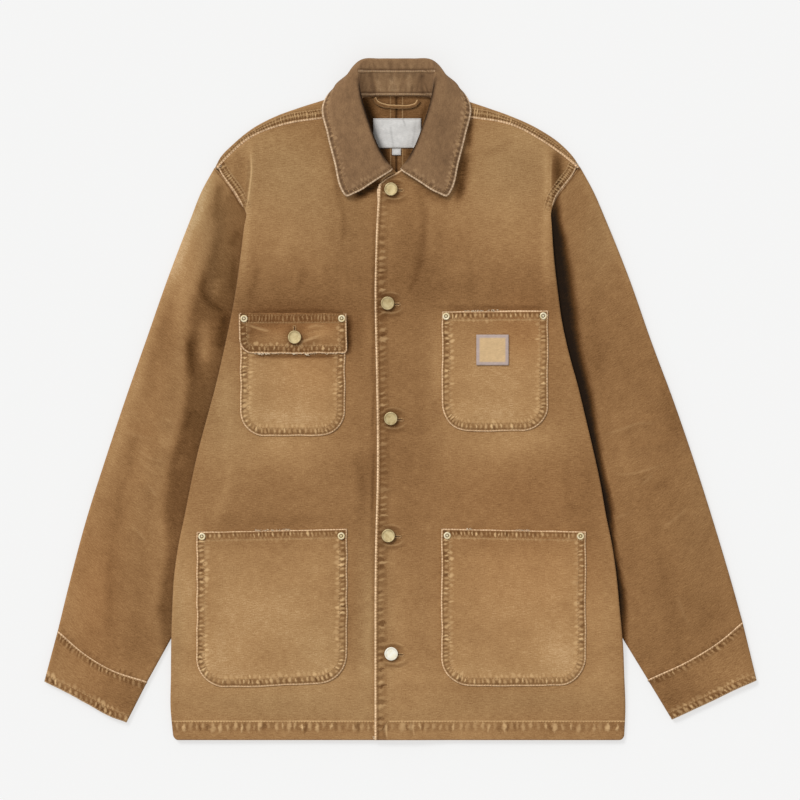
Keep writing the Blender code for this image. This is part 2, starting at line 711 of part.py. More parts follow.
def make_cuff(side, finish):
    """A cuff: one band all the way round the sleeve's end, open at both ends."""
    rows = 5
    seam, hem = places(CUFF_SEAM, side), places(CUFF_HEM, side)
    down = unit(hem.mean(axis=0) - seam.mean(axis=0))
    seam = seam + down * 2.0 * SEAM_GAP
    height = np.linspace(float(sleeve_frame(side, 20).outer_top[-1]), CUFF_HEIGHT, rows)
    radius = (height / 2.0)[:, None]
    v = np.linspace(0.0, 1.0, rows)[:, None]
    outer = (1 - v) * seam[0] + v * hem[0]
    inner = (1 - v) * seam[-1] + v * hem[-1]
    out = unit(outer - inner)
    outer_start, inner_start = outer - out * radius, inner + out * radius
    first = points_along(np.concatenate([outer_start[:1], seam[1:-1], inner_start[:1]]), SLEEVE_COLUMNS)
    last = points_along(np.concatenate([outer_start[-1:], hem[1:-1], inner_start[-1:]]), SLEEVE_COLUMNS)
    flat = coons(first, last, outer_start, inner_start)
    top = with_height(flat, np.repeat(height[:, None], SLEEVE_COLUMNS, axis=1))
    under = with_height(flat[:, ::-1], np.zeros(flat.shape[:2]))[:, 1:-1]
    floor = np.zeros(rows)
    inner_fold = turned_under(inner, -out, height, floor)
    outer_fold = turned_under(outer, out, height, floor)[:, ::-1]
    ring = np.concatenate([top, inner_fold, under, outer_fold, top[:, :1]], axis=1)
    made = cloth(f"cuff_{side_name(side)}", ring, WALL, finish, probe=(1, 2))
    weld = made.modifiers.new("Weld", "WELD")
    weld.merge_threshold = 1e-6
    made.modifiers.move(1, 0)
    return made


def collar_line(row, wanted):
    return np.array([getattr(row, f"{wanted}_{axis}") for axis in ("out", "y", "z")])


def make_collar(finish):
    """The collar: a stand round the neck that rolls over and falls to the leaf's edge."""
    sections = []
    for row in COLLAR:
        base, roll, middle, knee, end = (
            collar_line(row, name) for name in ("base", "roll", "middle", "knee", "edge")
        )
        rounding = 6.0
        up, down = unit(base - roll), unit(middle - roll)
        before, after = roll + up * rounding, roll + down * rounding
        crest = (before + after) / 4.0 + roll / 2.0
        early = (before + crest) / 2.0 + (roll - crest) * 0.12
        late = (after + crest) / 2.0 + (roll - crest) * 0.12
        stand = base + (before - base) * 0.5
        sections.append([base, stand, before, early, crest, late, after, (after + middle) / 2.0, middle])
        sections[-1] += [middle * 0.5 + knee * 0.5, knee, knee * 0.45 + end * 0.55, end]
    half = np.array(sections)
    count = 12
    lines = [points_along(half[:, k], count) for k in range(half.shape[1])]
    half = np.stack(lines, axis=1)
    mirrored = half[::-1][1:].copy()
    right = half.copy()
    right[..., 0] = CENTRE_X - half[..., 0]
    mirrored[..., 0] = CENTRE_X + mirrored[..., 0]
    grid = np.concatenate([right, mirrored], axis=0)
    made = cloth("collar", grid, COLLAR_WALL, finish)
    made.modifiers["Wall"].use_even_offset = False
    return made


def patch(name, x_span, y_span, corner, height, wall, finish, cells):
    """A flat piece that follows `height(x, y)`, with its two lower corners rounded."""
    columns, rows = cells
    x0, x1 = x_span
    y0, y1 = y_span
    turns = np.radians([0.0, 30.0, 60.0, 90.0]) if corner > 1.0 else np.array([math.pi / 2.0])
    inset = corner * (1.0 - np.sin(turns))
    low = y0 + corner * (1.0 - np.cos(turns))
    low = low if corner > 1.0 else np.array([y0])
    levels = np.concatenate([low, np.linspace(low[-1], y1, rows + 1)[1:]])
    insets = np.concatenate([inset, np.zeros(rows)]) if corner > 1.0 else np.zeros(rows + 1)
    u = np.linspace(0.0, 1.0, columns + 1)[None, :]
    x = (x0 + insets)[:, None] * (1 - u) + (x1 - insets)[:, None] * u
    y = np.repeat(levels[:, None], columns + 1, axis=1)
    flat = np.stack([x, y], axis=-1)
    return cloth(name, with_height(flat, height(x, y) + wall), wall, finish)


def pocket_height(pocket):
    """Height of a pocket's underside: on its front, with a low belly inside its edges."""

    def height(x, y):
        inside = np.minimum(np.minimum(x - pocket.x0, pocket.x1 - x), y - pocket.bottom_y)
        top_fade = ease((pocket.top_y - y) / 40.0)
        belly = POCKET_BELLY * ease(inside / POCKET_SINK) * top_fade
        return front_top(pocket.side, x, y) + LAID_GAP + belly

    return height


def make_pockets(canvas):
    for pocket in POCKETS:
        cells = (8, 6)
        patch(
            pocket.name,
            (pocket.x0, pocket.x1),
            (pocket.bottom_y, pocket.top_y),
            pocket.corner,
            pocket_height(pocket),
            POCKET_WALL,
            canvas,
            cells,
        )


def on_piece(height, wall, more=0.0):
    return lambda x, y: height(x, y) + wall + LAID_GAP + more


def turned(name, profile, finish, place, z, sides):
    """A round piece turned from a profile of radius and height, standing on height z."""
    mesh = bpy.data.meshes.new(name)
    points = [(r * MM, 0.0, h * MM) for r, h in profile]
    mesh.from_pydata(points, [(k, k + 1) for k in range(len(points) - 1)], [])
    made = add_object(name, mesh, finish)
    made.location = (place[0] * MM, place[1] * MM, z * MM)
    screw = made.modifiers.new("Turn", "SCREW")
    screw.steps = screw.render_steps = sides
    screw.use_merge_vertices = True
    screw.merge_threshold = 1e-5
    screw.use_smooth_shade = True
    return made


BUTTON_PROFILE = [
    (0.0, BUTTON_HEIGHT - 0.5),
    (BUTTON_RADIUS * 0.62, BUTTON_HEIGHT - 0.35),
    (BUTTON_RADIUS * 0.82, BUTTON_HEIGHT),
    (BUTTON_RADIUS * 0.97, BUTTON_HEIGHT - 0.7),
    (BUTTON_RADIUS, BUTTON_HEIGHT - 1.5),
    (BUTTON_RADIUS * 0.93, BUTTON_HEIGHT - 2.3),
    (BUTTON_RADIUS * 0.45, BUTTON_HEIGHT - 2.6),
    (BUTTON_RADIUS * 0.36, 0.0),
    (0.0, 0.0),
]
RIVET_PROFILE = [
    (0.0, RIVET_HEIGHT),
    (RIVET_RADIUS * 0.3, RIVET_HEIGHT - 0.1),
    (RIVET_RADIUS * 0.45, RIVET_HEIGHT - 0.6),
    (RIVET_RADIUS * 0.72, RIVET_HEIGHT - 0.2),
    (RIVET_RADIUS, RIVET_HEIGHT - 0.9),
    (RIVET_RADIUS, 0.0),
    (0.0, 0.0),
]


def make_metal(brass, flap_height):
    for number, (x, y) in enumerate(BUTTONS, start=1):
        z = front_top(LEFT, np.array(x), np.array(y)) + LAID_GAP
        turned(f"button_{number}", BUTTON_PROFILE, brass, (x, y), float(z), 18)
    x, y = FLAP_BUTTON
    z = flap_height(np.array(x), np.array(y)) + POCKET_WALL + LAID_GAP
    turned("flap_button", BUTTON_PROFILE, brass, (x, y), float(z), 18)
    for number, (x, y) in enumerate(RIVETS, start=1):
        pocket = next(p for p in POCKETS if p.x0 < x < p.x1 and p.bottom_y < y < p.top_y)
        here = (np.array(x), np.array(y))
        if pocket.name == "chest_pocket_right":
            z = flap_height(*here)
        else:
            z = pocket_height(pocket)(*here)
        turned(f"rivet_{number}", RIVET_PROFILE, brass, (x, y), float(z) + POCKET_WALL + LAID_GAP, 12)


def make_neck_pieces(canvas, woven):
    """Inside the back neck: the hanger loop, the blank label and the blank size tag under it."""

    def label_height(x, y):
        return np.full(np.shape(x), LABEL_Z)

    patch("neck_label", LABEL_X, LABEL_Y, 0.0, label_height, LABEL_WALL, woven, (4, 3))
    patch("size_tag", TAG_X, TAG_Y, 0.0, label_height, LABEL_WALL, woven, (2, 2))
    curve = bpy.data.curves.new("hanger_loop", "CURVE")
    curve.dimensions = "3D"
    spline = curve.splines.new("POLY")
    route = points_along([(x, y, LOOP_Z) for x, y in LOOP_ROUTE], 16)
    spline.points.add(len(route) - 1)
    for point, where in zip(spline.points, route):
        point.co = (*(where * MM), 1.0)
    curve.bevel_depth = LOOP_RADIUS * MM
    curve.bevel_resolution = 2
    curve.use_fill_caps = True
    loop = bpy.data.objects.new("hanger_loop", curve)
    curve.materials.append(canvas)
    parts.objects.link(loop)


def side_name(side):
    return "right" if side == RIGHT else "left"


def main():
    canvas = material("duck_canvas", (0.33, 0.19, 0.085), 0.92)
    brown = material("collar_cloth", (0.22, 0.13, 0.07), 0.9)
    brass = material("pale_brass", (0.70, 0.58, 0.34), 0.32, 1.0)
    woven = material("label_cloth", (0.62, 0.60, 0.56), 0.85)
    for side in (RIGHT, LEFT):
        make_back(side, canvas)
        make_front(side, canvas)
        make_sleeve(side, canvas)
        make_undersleeve(side, canvas)
        make_cuff(side, canvas)
    make_collar(brown)
    make_pockets(canvas)
    chest = next(p for p in POCKETS if p.name == "chest_pocket_right")
    flap_height = on_piece(pocket_height(chest), POCKET_WALL)
    patch("pocket_flap", FLAP_X, FLAP_Y, FLAP_CORNER, flap_height, POCKET_WALL, canvas, (8, 3))
    other = next(p for p in POCKETS if p.name == "chest_pocket_left")
    patch_height = on_piece(pocket_height(other), POCKET_WALL)
    patch("pocket_patch", PATCH_X, PATCH_Y, 0.0, patch_height, LABEL_WALL, woven, (3, 3))
    make_neck_pieces(canvas, woven)
    make_metal(brass, flap_height)


for old in list(bpy.data.objects):
    bpy.data.objects.remove(old, do_unlink=True)
parts = bpy.data.collections.new("chore_jacket")
bpy.context.scene.collection.children.link(parts)
main()
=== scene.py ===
"""Looks of a chore jacket in washed duck canvas, laid flat on its back and buttoned.

Every size below is in millimetres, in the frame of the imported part: +X to the viewer's right, +Y from
the hem to the collar, +Z up from the surface. Left and right are the wearer's, so right lies at -X.
"""

import logging
import math
from dataclasses import dataclass, field
from enum import Enum
from functools import partial
from typing import Callable, NamedTuple, Sequence

import bmesh
import bpy
import numpy as np
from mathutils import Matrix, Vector

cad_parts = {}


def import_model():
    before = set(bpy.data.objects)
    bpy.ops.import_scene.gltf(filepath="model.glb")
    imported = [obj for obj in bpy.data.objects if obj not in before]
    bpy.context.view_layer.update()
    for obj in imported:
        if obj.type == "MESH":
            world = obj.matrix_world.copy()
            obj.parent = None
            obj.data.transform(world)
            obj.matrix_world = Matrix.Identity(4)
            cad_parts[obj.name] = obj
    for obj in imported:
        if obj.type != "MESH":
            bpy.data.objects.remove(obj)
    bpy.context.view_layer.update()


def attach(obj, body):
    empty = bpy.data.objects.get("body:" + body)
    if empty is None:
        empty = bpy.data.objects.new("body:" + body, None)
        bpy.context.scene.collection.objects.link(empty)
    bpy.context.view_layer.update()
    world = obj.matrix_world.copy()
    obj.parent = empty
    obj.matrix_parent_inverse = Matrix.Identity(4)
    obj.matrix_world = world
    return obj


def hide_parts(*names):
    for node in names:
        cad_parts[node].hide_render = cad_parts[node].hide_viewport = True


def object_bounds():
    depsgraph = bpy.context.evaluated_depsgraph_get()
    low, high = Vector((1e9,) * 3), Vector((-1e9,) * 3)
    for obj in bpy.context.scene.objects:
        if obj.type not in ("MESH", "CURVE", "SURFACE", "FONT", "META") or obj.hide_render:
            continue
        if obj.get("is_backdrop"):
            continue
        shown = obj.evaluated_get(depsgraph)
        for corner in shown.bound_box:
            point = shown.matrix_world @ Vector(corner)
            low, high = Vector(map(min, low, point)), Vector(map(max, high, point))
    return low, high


Array = np.ndarray
Height = Callable[[Array, Array], Array]
Tone = Callable[[Array], Array]
Material, Mesh, Socket = bpy.types.Material, bpy.types.Mesh, bpy.types.NodeSocket

MM = 0.001
LOG = logging.getLogger("chore_jacket")


class Side(Enum):
    """The wearer's sides, with the sign of X on which each lies.

    A slice that has this sign as its step turns the line of one side round, so that its piece lies on
    the line's left.
    """

    RIGHT = -1
    LEFT = 1

    @property
    def label(self) -> str:
        """The side's word in the names of nodes."""
        return self.name.lower()


def many(kind: Callable, *rows: tuple) -> tuple:
    """One entry of a kind for each row of its values."""
    return tuple(kind(*row) for row in rows)


# ---------------- cut of the jacket

WALL = 1.5
COLLAR_WALL = 2.0
POCKET_WALL = 1.2
LABEL_WALL = 1.0
SEAM_GAP = 0.3
LAID_GAP = 0.6

HEM_Y = -402.0
HEM_CORNER = 6.0
CENTRE_X = -4.7
BODY_HEIGHT = 6.4
HEM_HEIGHT = 5.8
SIDE_RISE = 3.3
SIDE_RISE_WIDTH = 78.0
OVERLAP_LIFT = 2.3
OVERLAP_FALL = 54.0
UNDERLAP_EDGE_X = 8.0
SEAM_TONGUE = 26.0
ARMHOLE_SEAM_Z = 5.9
ARMHOLE_SEAM_FALL = 1.2

SLEEVE_HEIGHT = 6.4
SLEEVE_INNER_HEIGHT = 3.8
SLEEVE_SLOPE_WIDTH = 100.0
SLEEVE_TONGUE = 9.0
INNER_TONGUE = 5.5
CUFF_HEIGHT = 6.2

BACK_NECK_Y = 358.0
ARC = np.linspace(0.0, math.pi, 10)[1:]


class Level(NamedTuple):
    """One height up the body: outer edges of both sides, and how far the sleeve lies under."""

    y: float
    right: float
    left: float
    tuck: float


BODY_SIDES = many(
    Level, (-402, 268, 264, 0), (-367, 271.4, 265.6, 0), (-320, 271, 264, 0), (-282, 270.6, 262.2, 0),
    (-248, 269.5, 258.8, 18), (-212, 267.6, 255.4, 34), (-172, 262.2, 249.8, 40), (-130, 253.4, 241.3, 40),
    (-80, 243.4, 232.4, 40), (-36, 232.6, 221.6, 40), (0, 222.2, 213.8, 40), (34, 214.2, 204.4, 40),
    (72, 205.4, 194.6, 38), (106, 198.6, 188.4, 34), (141, 192.6, 184.2, 26), (176, 188.2, 180.4, 14),
    (200, 185.2, 178.9, 6), (219, 182.4, 178, 0),
)


class Place(NamedTuple):
    """A point on both sides: distance out from the middle, and height up the body."""

    right: float
    right_y: float
    left: float
    left_y: float


ARMHOLE = many(
    Place, (182.4, 219, 178, 219), (189, 232.5, 183, 238), (198.2, 247.8, 192, 251), (209.5, 263, 203, 265),
    (218.8, 274, 211.2, 275),
)
SHOULDER = many(
    Place, (218.8, 274, 211.2, 275), (212.5, 286, 204.5, 285.5), (198.8, 300.3, 190.6, 300.3),
    (174, 320.4, 161.1, 320.4), (146.9, 334.5, 130.4, 334.5), (120.9, 344, 104.4, 343.8),
    (91.4, 353.4, 86, 350), (70, 360.5, 66, 356.5),
)
SHOULDER_SEAM = many(
    Place, (216.4, 273.6, 208.8, 274.6), (204, 286.6, 196, 285.2), (181, 307, 168, 305),
    (141, 323.9, 130.4, 324.6), (92, 332.2, 86.7, 332.5), (66, 336, 62, 336),
)
SLEEVE_OUTER = many(
    Place, (219.6, 273.6, 212, 274.6), (234.2, 247.2, 227.1, 247.2), (248.4, 211.8, 242.5, 211.8),
    (275.5, 141, 270.8, 141), (300.3, 70.2, 295.6, 70.2), (325.1, -0.6, 322, -0.6),
    (348.7, -71.4, 346.3, -71.4), (371.1, -142.2, 368.8, -142.2), (390, -213, 390, -213),
    (404.6, -272.7, 403.8, -262.3),
)
CUFF_SEAM = many(
    Place, (404.6, -272.7, 403.8, -262.3), (371.6, -300.3, 379.4, -282.6), (340.9, -318.5, 343.5, -305.7),
    (298.8, -332.9, 291.8, -330.4),
)
CUFF_HEM = many(
    Place, (420.6, -332.9, 420.6, -331.6), (396, -345, 393.5, -343.5), (369.9, -359.3, 367.6, -356.2),
    (342, -374.5, 343, -367.5), (323.5, -381.5, 320.4, -378),
)
NECKLINE = many(Place, (8, 271, 1, 271), (33, 297, 25, 297), (50, 326, 43, 324), (66, 336, 62, 336))


class EdgePoint(NamedTuple):
    """Where a free edge runs."""

    y: float
    x: float


PLACKET = many(
    EdgePoint, (-402, -30.6), (-236, -30.6), (-176, -30), (-90, -27.8), (-33, -27.8), (43, -29), (120, -30.7),
    (201, -28.8), (256, -25.2),
)


class CollarSection(NamedTuple):
    """One cut across the collar: distance out from its middle line, height up the body, and z."""

    base: tuple[float, float, float]
    roll: tuple[float, float, float]
    middle: tuple[float, float, float]
    knee: tuple[float, float, float]
    edge: tuple[float, float, float]


COLLAR = many(
    CollarSection, ((4.5, 272.5, 11), (3.5, 271, 17), (22, 259.5, 16), (41, 247, 14.5), (60, 238, 12.2)),
    ((17, 287, 11), (12, 285.5, 19), (33, 271.5, 18), (51.5, 259, 15), (66, 248.5, 12.2)),
    ((29, 303, 11), (20, 301, 22), (41, 293, 20), (59, 287, 15.5), (73.5, 279, 11.8)),
    ((40, 323, 11), (29.5, 326.5, 25), (48, 321.5, 22), (66, 318, 16), (82, 313, 11.4)),
    ((50, 343, 10.4), (37.5, 352, 27), (55, 352, 23), (72, 352.5, 16.5), (87.6, 347, 11)),
    ((45, 352, 7.5), (42.5, 374, 27.5), (59, 374, 23), (72.5, 370, 12.5), (76, 366, 3.5)),
    ((38, 356.5, 5.4), (45, 390, 27.5), (55, 389, 20.5), (59, 384, 10.4), (57, 374, 3)),
    ((30, 357.5, 4.8), (40, 401.5, 26.5), (43, 402, 18), (43, 399, 8.8), (41, 378, 3)),
    ((15, 358, 4.6), (18, 403.6, 26), (19, 404, 17), (19, 401, 8), (19, 378, 3)),
    ((0, 358, 4.6), (0, 403.6, 26), (0, 404, 17), (0, 401, 8), (0, 378, 3)),
)


class Stroke(NamedTuple):
    """A soft mark along a line: a ridge or trough in millimetres, or a lighter or darker streak."""

    x0: float
    y0: float
    x1: float
    y1: float
    width: float
    amount: float


BODY_FOLDS = many(
    Stroke, (-200, 190, -120, 130, 34, -1), (60, 200, 130, 120, 40, 0.9), (-60, 20, -110, -110, 34, 1.1),
    (30, 40, 60, -130, 34, -0.9), (120, -60, 190, -130, 36, 0.8),
)
BODY_CREASES = many(
    Stroke, (-174, 300, -184, 228, 5, 1.3), (177, 300, 178, 228, 5, 1.1), (-150, 300, -120, 180, 16, 0.5),
    (40, 250, 60, 130, 12, -0.5), (-60, 160, -40, 60, 10, -0.4), (20, 60, 42, -60, 9, 0.5),
    (-220, -60, -150, -120, 12, 0.5), (200, 40, 214, -90, 9, -0.5), (-60, -180, -45, -330, 8, 0.5),
    (30, -190, 36, -340, 8, -0.4), (-258, -180, -262, -330, 7, -0.5), (238, -180, 240, -330, 7, 0.5),
)
SLEEVE_FOLDS = {
    Side.RIGHT: many(
        Stroke, (-222, 236, -262, 60, 15, 2.4), (-262, 120, -300, -120, 16, 2.2),
        (-300, -60, -352, -270, 18, 1.6), (-330, -40, -262, -70, 11, 1.3),
    ),
    Side.LEFT: many(
        Stroke, (216, 240, 262, 80, 15, 1.8), (268, 40, 330, -20, 11, 1.4), (276, -20, 336, -60, 11, 1.4),
        (300, -100, 356, -260, 20, 1.6),
    ),
}
SLEEVE_CREASES = {
    Side.RIGHT: many(
        Stroke, (-206, 224, -224, 80, 8, -1.4), (-226, 90, -240, 0, 8, -1.2),
        (-330, -10, -268, -30, 4.5, 0.5), (-338, -30, -262, -52, 4.5, 0.6), (-344, -60, -270, -78, 5, 0.5),
        (-350, -90, -290, -104, 5, 0.4),
    ),
    Side.LEFT: many(
        Stroke, (204, 220, 226, 90, 9, -1), (262, -6, 326, 10, 4.5, 0.4), (258, -34, 336, -14, 4.5, 0.6),
        (264, -62, 346, -44, 4.5, 0.5), (276, -92, 352, -76, 5, 0.4),
    ),
}


# ---------------- curves and fields


def ease(t: Array) -> Array:
    """Smooth step from 0 to 1: three t squared less two t cubed."""
    t = np.clip(t, 0.0, 1.0)
    return t * t * (3.0 - 2.0 * t)


def smooth(xs: Sequence[float], ys: Sequence[float], at: Array) -> Array:
    """Cubic curve through the rows of a table, each row's slope taken from its neighbours.

    Args:
        xs: increasing positions.
        ys: values at those positions.
        at: where the curve is wanted.

    Returns:
        The curve's values.
    """
    xs, ys = np.asarray(xs, float), np.asarray(ys, float)
    slopes = np.gradient(ys, xs)
    at = np.clip(at, xs[0], xs[-1])
    k = np.clip(np.searchsorted(xs, at) - 1, 0, len(xs) - 2)
    span = xs[k + 1] - xs[k]
    t = (at - xs[k]) / span
    start = (2 * t**3 - 3 * t**2 + 1) * ys[k] + (t**3 - 2 * t**2 + t) * span * slopes[k]
    return start + (3 * t**2 - 2 * t**3) * ys[k + 1] + (t**3 - t**2) * span * slopes[k + 1]


def lengths(points: Array) -> Array:
    """Distance along a line of points, from its first one."""
    steps = np.linalg.norm(np.diff(points, axis=0), axis=1)
    return np.concatenate([[0.0], np.cumsum(steps)])


def points_along(points: Sequence, shares: Array | int) -> Array:
    """Points on the smooth curve through the given ones.

    Args:
        points: rows of two or three coordinates.
        shares: shares of the whole length, or how many evenly spaced points.

    Returns:
        One row for each share.
    """
    points = np.asarray(points, float)
    if isinstance(shares, int):
        shares = np.linspace(0.0, 1.0, shares)
    length = lengths(points)
    return np.stack([smooth(length, column, shares * length[-1]) for column in points.T], axis=1)


def unit(vectors: Array) -> Array:
    """The same directions with length one."""
    return vectors / np.linalg.norm(vectors, axis=-1, keepdims=True)


def places(table: Sequence[Place], side: Side) -> Array:
    """One side's points of a two-sided table, as x and y."""
    if side is Side.RIGHT:
        return np.array([(-row.right, row.right_y) for row in table], float)
    return np.array([(row.left, row.left_y) for row in table], float)


def graded(length: float, near_start: float, near_end: float, coarse: float, hold: float = 14.0) -> Array:
    """Shares from 0 to 1 whose steps grow from fine at the ends to coarse in the middle.

    The step is fine for the held length from an end, then grows evenly to the coarse one over
    12 mm, and the count of points is the integral of one over the step.
    """
    d = np.linspace(0.0, length, 2000)
    from_start = near_start + (coarse - near_start) * np.clip((d - hold) / 12.0, 0.0, 1.0)
    from_end = near_end + (coarse - near_end) * np.clip((length - d - hold) / 12.0, 0.0, 1.0)
    density = 1.0 / np.minimum(from_start, from_end)
    count = np.concatenate([[0.0], np.cumsum((density[1:] + density[:-1]) / 2.0 * np.diff(d))])
    return np.interp(np.linspace(0.0, count[-1], int(count[-1]) + 2), count, d) / length


def strokes(marks: Sequence[Stroke], x: Array, y: Array) -> Array:
    """Sum of soft marks: a bell across each mark's line, times a fade towards its two ends."""
    total = np.zeros(np.broadcast(x, y).shape)
    for mark in marks:
        dx, dy = mark.x1 - mark.x0, mark.y1 - mark.y0
        length = math.hypot(dx, dy)
        along = ((x - mark.x0) * dx + (y - mark.y0) * dy) / length**2
        across = ((x - mark.x0) * dy - (y - mark.y0) * dx) / length
        fade = ease((along + 0.15) / 0.4) * ease((1.15 - along) / 0.4)
        total = total + mark.amount * fade * np.exp(-((across / mark.width) ** 2))
    return total


@dataclass(frozen=True)
class Drift:
    """A smooth random field: random values on a square lattice, eased between its corners."""

    seed: int
    step: float

    def __call__(self, x: Array, y: Array | float = 0.0) -> Array:
        """Values from -1 to 1 at the given places."""
        table = np.random.default_rng(self.seed).uniform(-1.0, 1.0, (64, 64))
        gx, gy = np.asarray(x, float) / self.step, np.asarray(y, float) / self.step
        ix, iy = np.floor(gx).astype(int), np.floor(gy).astype(int)
        tx, ty = ease(gx - ix), ease(gy - iy)
        low = table[ix % 64, iy % 64] * (1 - tx) + table[(ix + 1) % 64, iy % 64] * tx
        high = table[ix % 64, (iy + 1) % 64] * (1 - tx) + table[(ix + 1) % 64, (iy + 1) % 64] * tx
        return low * (1 - ty) + high * ty


def nearest(points: Array, line: Array) -> tuple[Array, Array, Array]:
    """How far each point is from a line of straight runs, and where beside the line it lies.

    Args:
        points: any shape, with x and y last.
        line: rows of x and y.

    Returns:
        Distance to the line, length along it, and 1 on its left or -1 on its right.
    """
    flat = points.reshape(-1, 2)
    best = np.full(len(flat), np.inf)
    along, side = np.zeros(len(flat)), np.ones(len(flat))
    at = lengths(line)
    for start, end, before in zip(line[:-1], line[1:], at[:-1]):
        run = end - start
        length = math.hypot(*run)
        share = np.clip((flat - start) @ run / length**2, 0.0, 1.0)
        off = flat - start - share[:, None] * run
        away = np.linalg.norm(off, axis=1)
        closer = away < best
        best = np.where(closer, away, best)
        along = np.where(closer, before + share * length, along)
        side = np.where(closer, np.where(run[0] * off[:, 1] < run[1] * off[:, 0], -1.0, 1.0), side)
    shape = points.shape[:-1]
    return best.reshape(shape), along.reshape(shape), side.reshape(shape)


def coons(bottom: Array, top: Array, start: Array, end: Array, u: Array, v: Array) -> Array:
    """Grid between four edges: the blend of both pairs, less the blend of the corners."""
    u, v = u[None, :, None], v[:, None, None]
    between = (1 - v) * bottom[None] + v * top[None] + (1 - u) * start[:, None] + u * end[:, None]
    low = (1 - u) * (1 - v) * bottom[0] + u * (1 - v) * bottom[-1]
    return between - (low + (1 - u) * v * top[0] + u * v * top[-1])


def rounded(away: Array, radius: float) -> Array:
    """Distances from the two edges at a corner, pressed inwards so that the corner becomes round.

    Seen from the round corner's middle, each point of the corner's square moves towards it by the
    larger of its two coordinates over their joint length, which lays the square on the disc.
    """
    reach = np.clip(1.0 - away / radius, 0.0, 1.0)
    larger, joint = reach.max(axis=-1, keepdims=True), np.linalg.norm(reach, axis=-1, keepdims=True)
    pressed = radius * (1.0 - reach * larger / np.maximum(joint, 1e-6))
    return np.where(reach.min(axis=-1, keepdims=True) > 0.0, pressed, away)


def pair(x: Array, y: Array) -> Array:
    """Two arrays as the x and y of points."""
    return np.stack([x, y], axis=-1)


def with_height(flat: Array, height: Array) -> Array:
    """Points in the plane joined with their heights."""
    return np.concatenate([flat, np.broadcast_to(height, flat.shape[:-1])[..., None]], axis=-1)


def laid(flat: Array, height: Height) -> Array:
    """Points in the plane laid on a surface."""
    return with_height(flat, height(flat[..., 0], flat[..., 1]))


def row_lengths(grid: Array) -> Array:
    """Distance of every point of a grid from its row's first one, along the row."""
    steps = np.linalg.norm(np.diff(grid, axis=1), axis=-1)
    return np.concatenate([np.zeros((len(grid), 1)), np.cumsum(steps, axis=1)], axis=1)


def down_rows(values: Array, columns: int) -> Array:
    """One number for each row, repeated along its columns."""
    return np.repeat(values[:, None], columns, axis=1)


def turned_under(edge: Array, out: Array, top: Array, under: Array) -> Array:
    """Rows of a folded edge: a half circle from the top face round its outermost point and under."""
    radius = (top - under) / 2.0
    sway, lift = np.sin(ARC)[None, :], np.cos(ARC)[None, :]
    flat = edge[:, None] + out[:, None] * (radius[:, None] * (sway - 1.0))[..., None]
    return with_height(flat, (top - radius)[:, None] + radius[:, None] * lift)


# ---------------- the laid-out form

LEVEL_Y = [row.y for row in BODY_SIDES]


def body_edge(side: Side, y: Array) -> Array:
    """Distance of the body's side fold from the middle."""
    return smooth(LEVEL_Y, [getattr(row, side.label) for row in BODY_SIDES], y)


def tuck(y: Array) -> Array:
    """How far the sleeve reaches in under the body's side fold."""
    return np.interp(y, LEVEL_Y, [row.tuck for row in BODY_SIDES])


def armhole_share(side: Side, x: Array, y: Array) -> tuple[Array, Array]:
    """Distance outside the armhole seam's chord, and the share of the way down it."""
    seam = places(ARMHOLE, side)
    low, high = seam[0], seam[-1]
    run = low - high
    length = math.hypot(*run)
    run = run / length
    away = (x - high[0]) * run[1] - (y - high[1]) * run[0]
    down = ((x - high[0]) * run[0] + (y - high[1]) * run[1]) / length
    return away * -side.value, np.clip(down, 0.0, 1.0)


def sleeve_inner(side: Side, y: Array) -> Array:
    """Distance of the sleeve's inner edge from the middle, under the body or beside it."""
    hidden = body_edge(side, y) - tuck(y)
    end = places(CUFF_SEAM, side)[-1]
    start_y = -282.0
    start = body_edge(side, start_y)
    slope = (abs(end[0]) - start) / (start_y - end[1])
    return np.where(y < start_y, start + slope * (start_y - y), hidden)


def sleeve_top(side: Side, x: Array, y: Array) -> Array:
    """Height of a sleeve's upper face: low under the body, higher outside, down at the armhole."""
    inside = side.value * x - sleeve_inner(side, y)
    low = SLEEVE_INNER_HEIGHT + (CUFF_HEIGHT - SLEEVE_INNER_HEIGHT) * ease((-270.0 - y) / 60.0)
    plain = low + (SLEEVE_HEIGHT - low) * ease(inside / SLEEVE_SLOPE_WIDTH)
    shown = ease((side.value * x - body_edge(side, y) - 4.0) / 30.0)
    end = ease((y + 318.0) / 60.0)
    plain = plain + strokes(SLEEVE_FOLDS[side], x, y) * shown * end
    away, down = armhole_share(side, x, y)
    near = 1.0 - ease(away / 34.0)
    return plain * (1.0 - near) + (ARMHOLE_SEAM_Z - ARMHOLE_SEAM_FALL * down) * near


def under_height(side: Side, x: Array, y: Array) -> Array:
    """Outer face of the cloth that the fronts turn under: over the sleeve, then down to the floor."""
    inner = body_edge(side, y) - tuck(y)
    inside = side.value * x - inner
    over = sleeve_top(side, side.value * np.maximum(side.value * x, inner), y) + LAID_GAP
    over = over * ease((y + 345.0) / 55.0)
    return over * (1.0 - ease((-2.5 - inside) / 14.0))


def body_top(x: Array, y: Array) -> Array:
    """Height of the fronts' upper face, without the overlap."""
    edge = np.where(x < 0.0, body_edge(Side.RIGHT, y), body_edge(Side.LEFT, y))
    inside = edge - np.abs(x)
    rise = ease((SIDE_RISE_WIDTH + 8.0 - inside) / SIDE_RISE_WIDTH) * ease((y + 372.0) / 110.0)
    plain = HEM_HEIGHT + (BODY_HEIGHT - HEM_HEIGHT) * ease((y - HEM_Y) / 60.0)
    calm = ease((inside - 14.0) / 40.0)
    return plain + SIDE_RISE * rise * ease((250.0 - y) / 95.0) + strokes(BODY_FOLDS, x, y) * calm


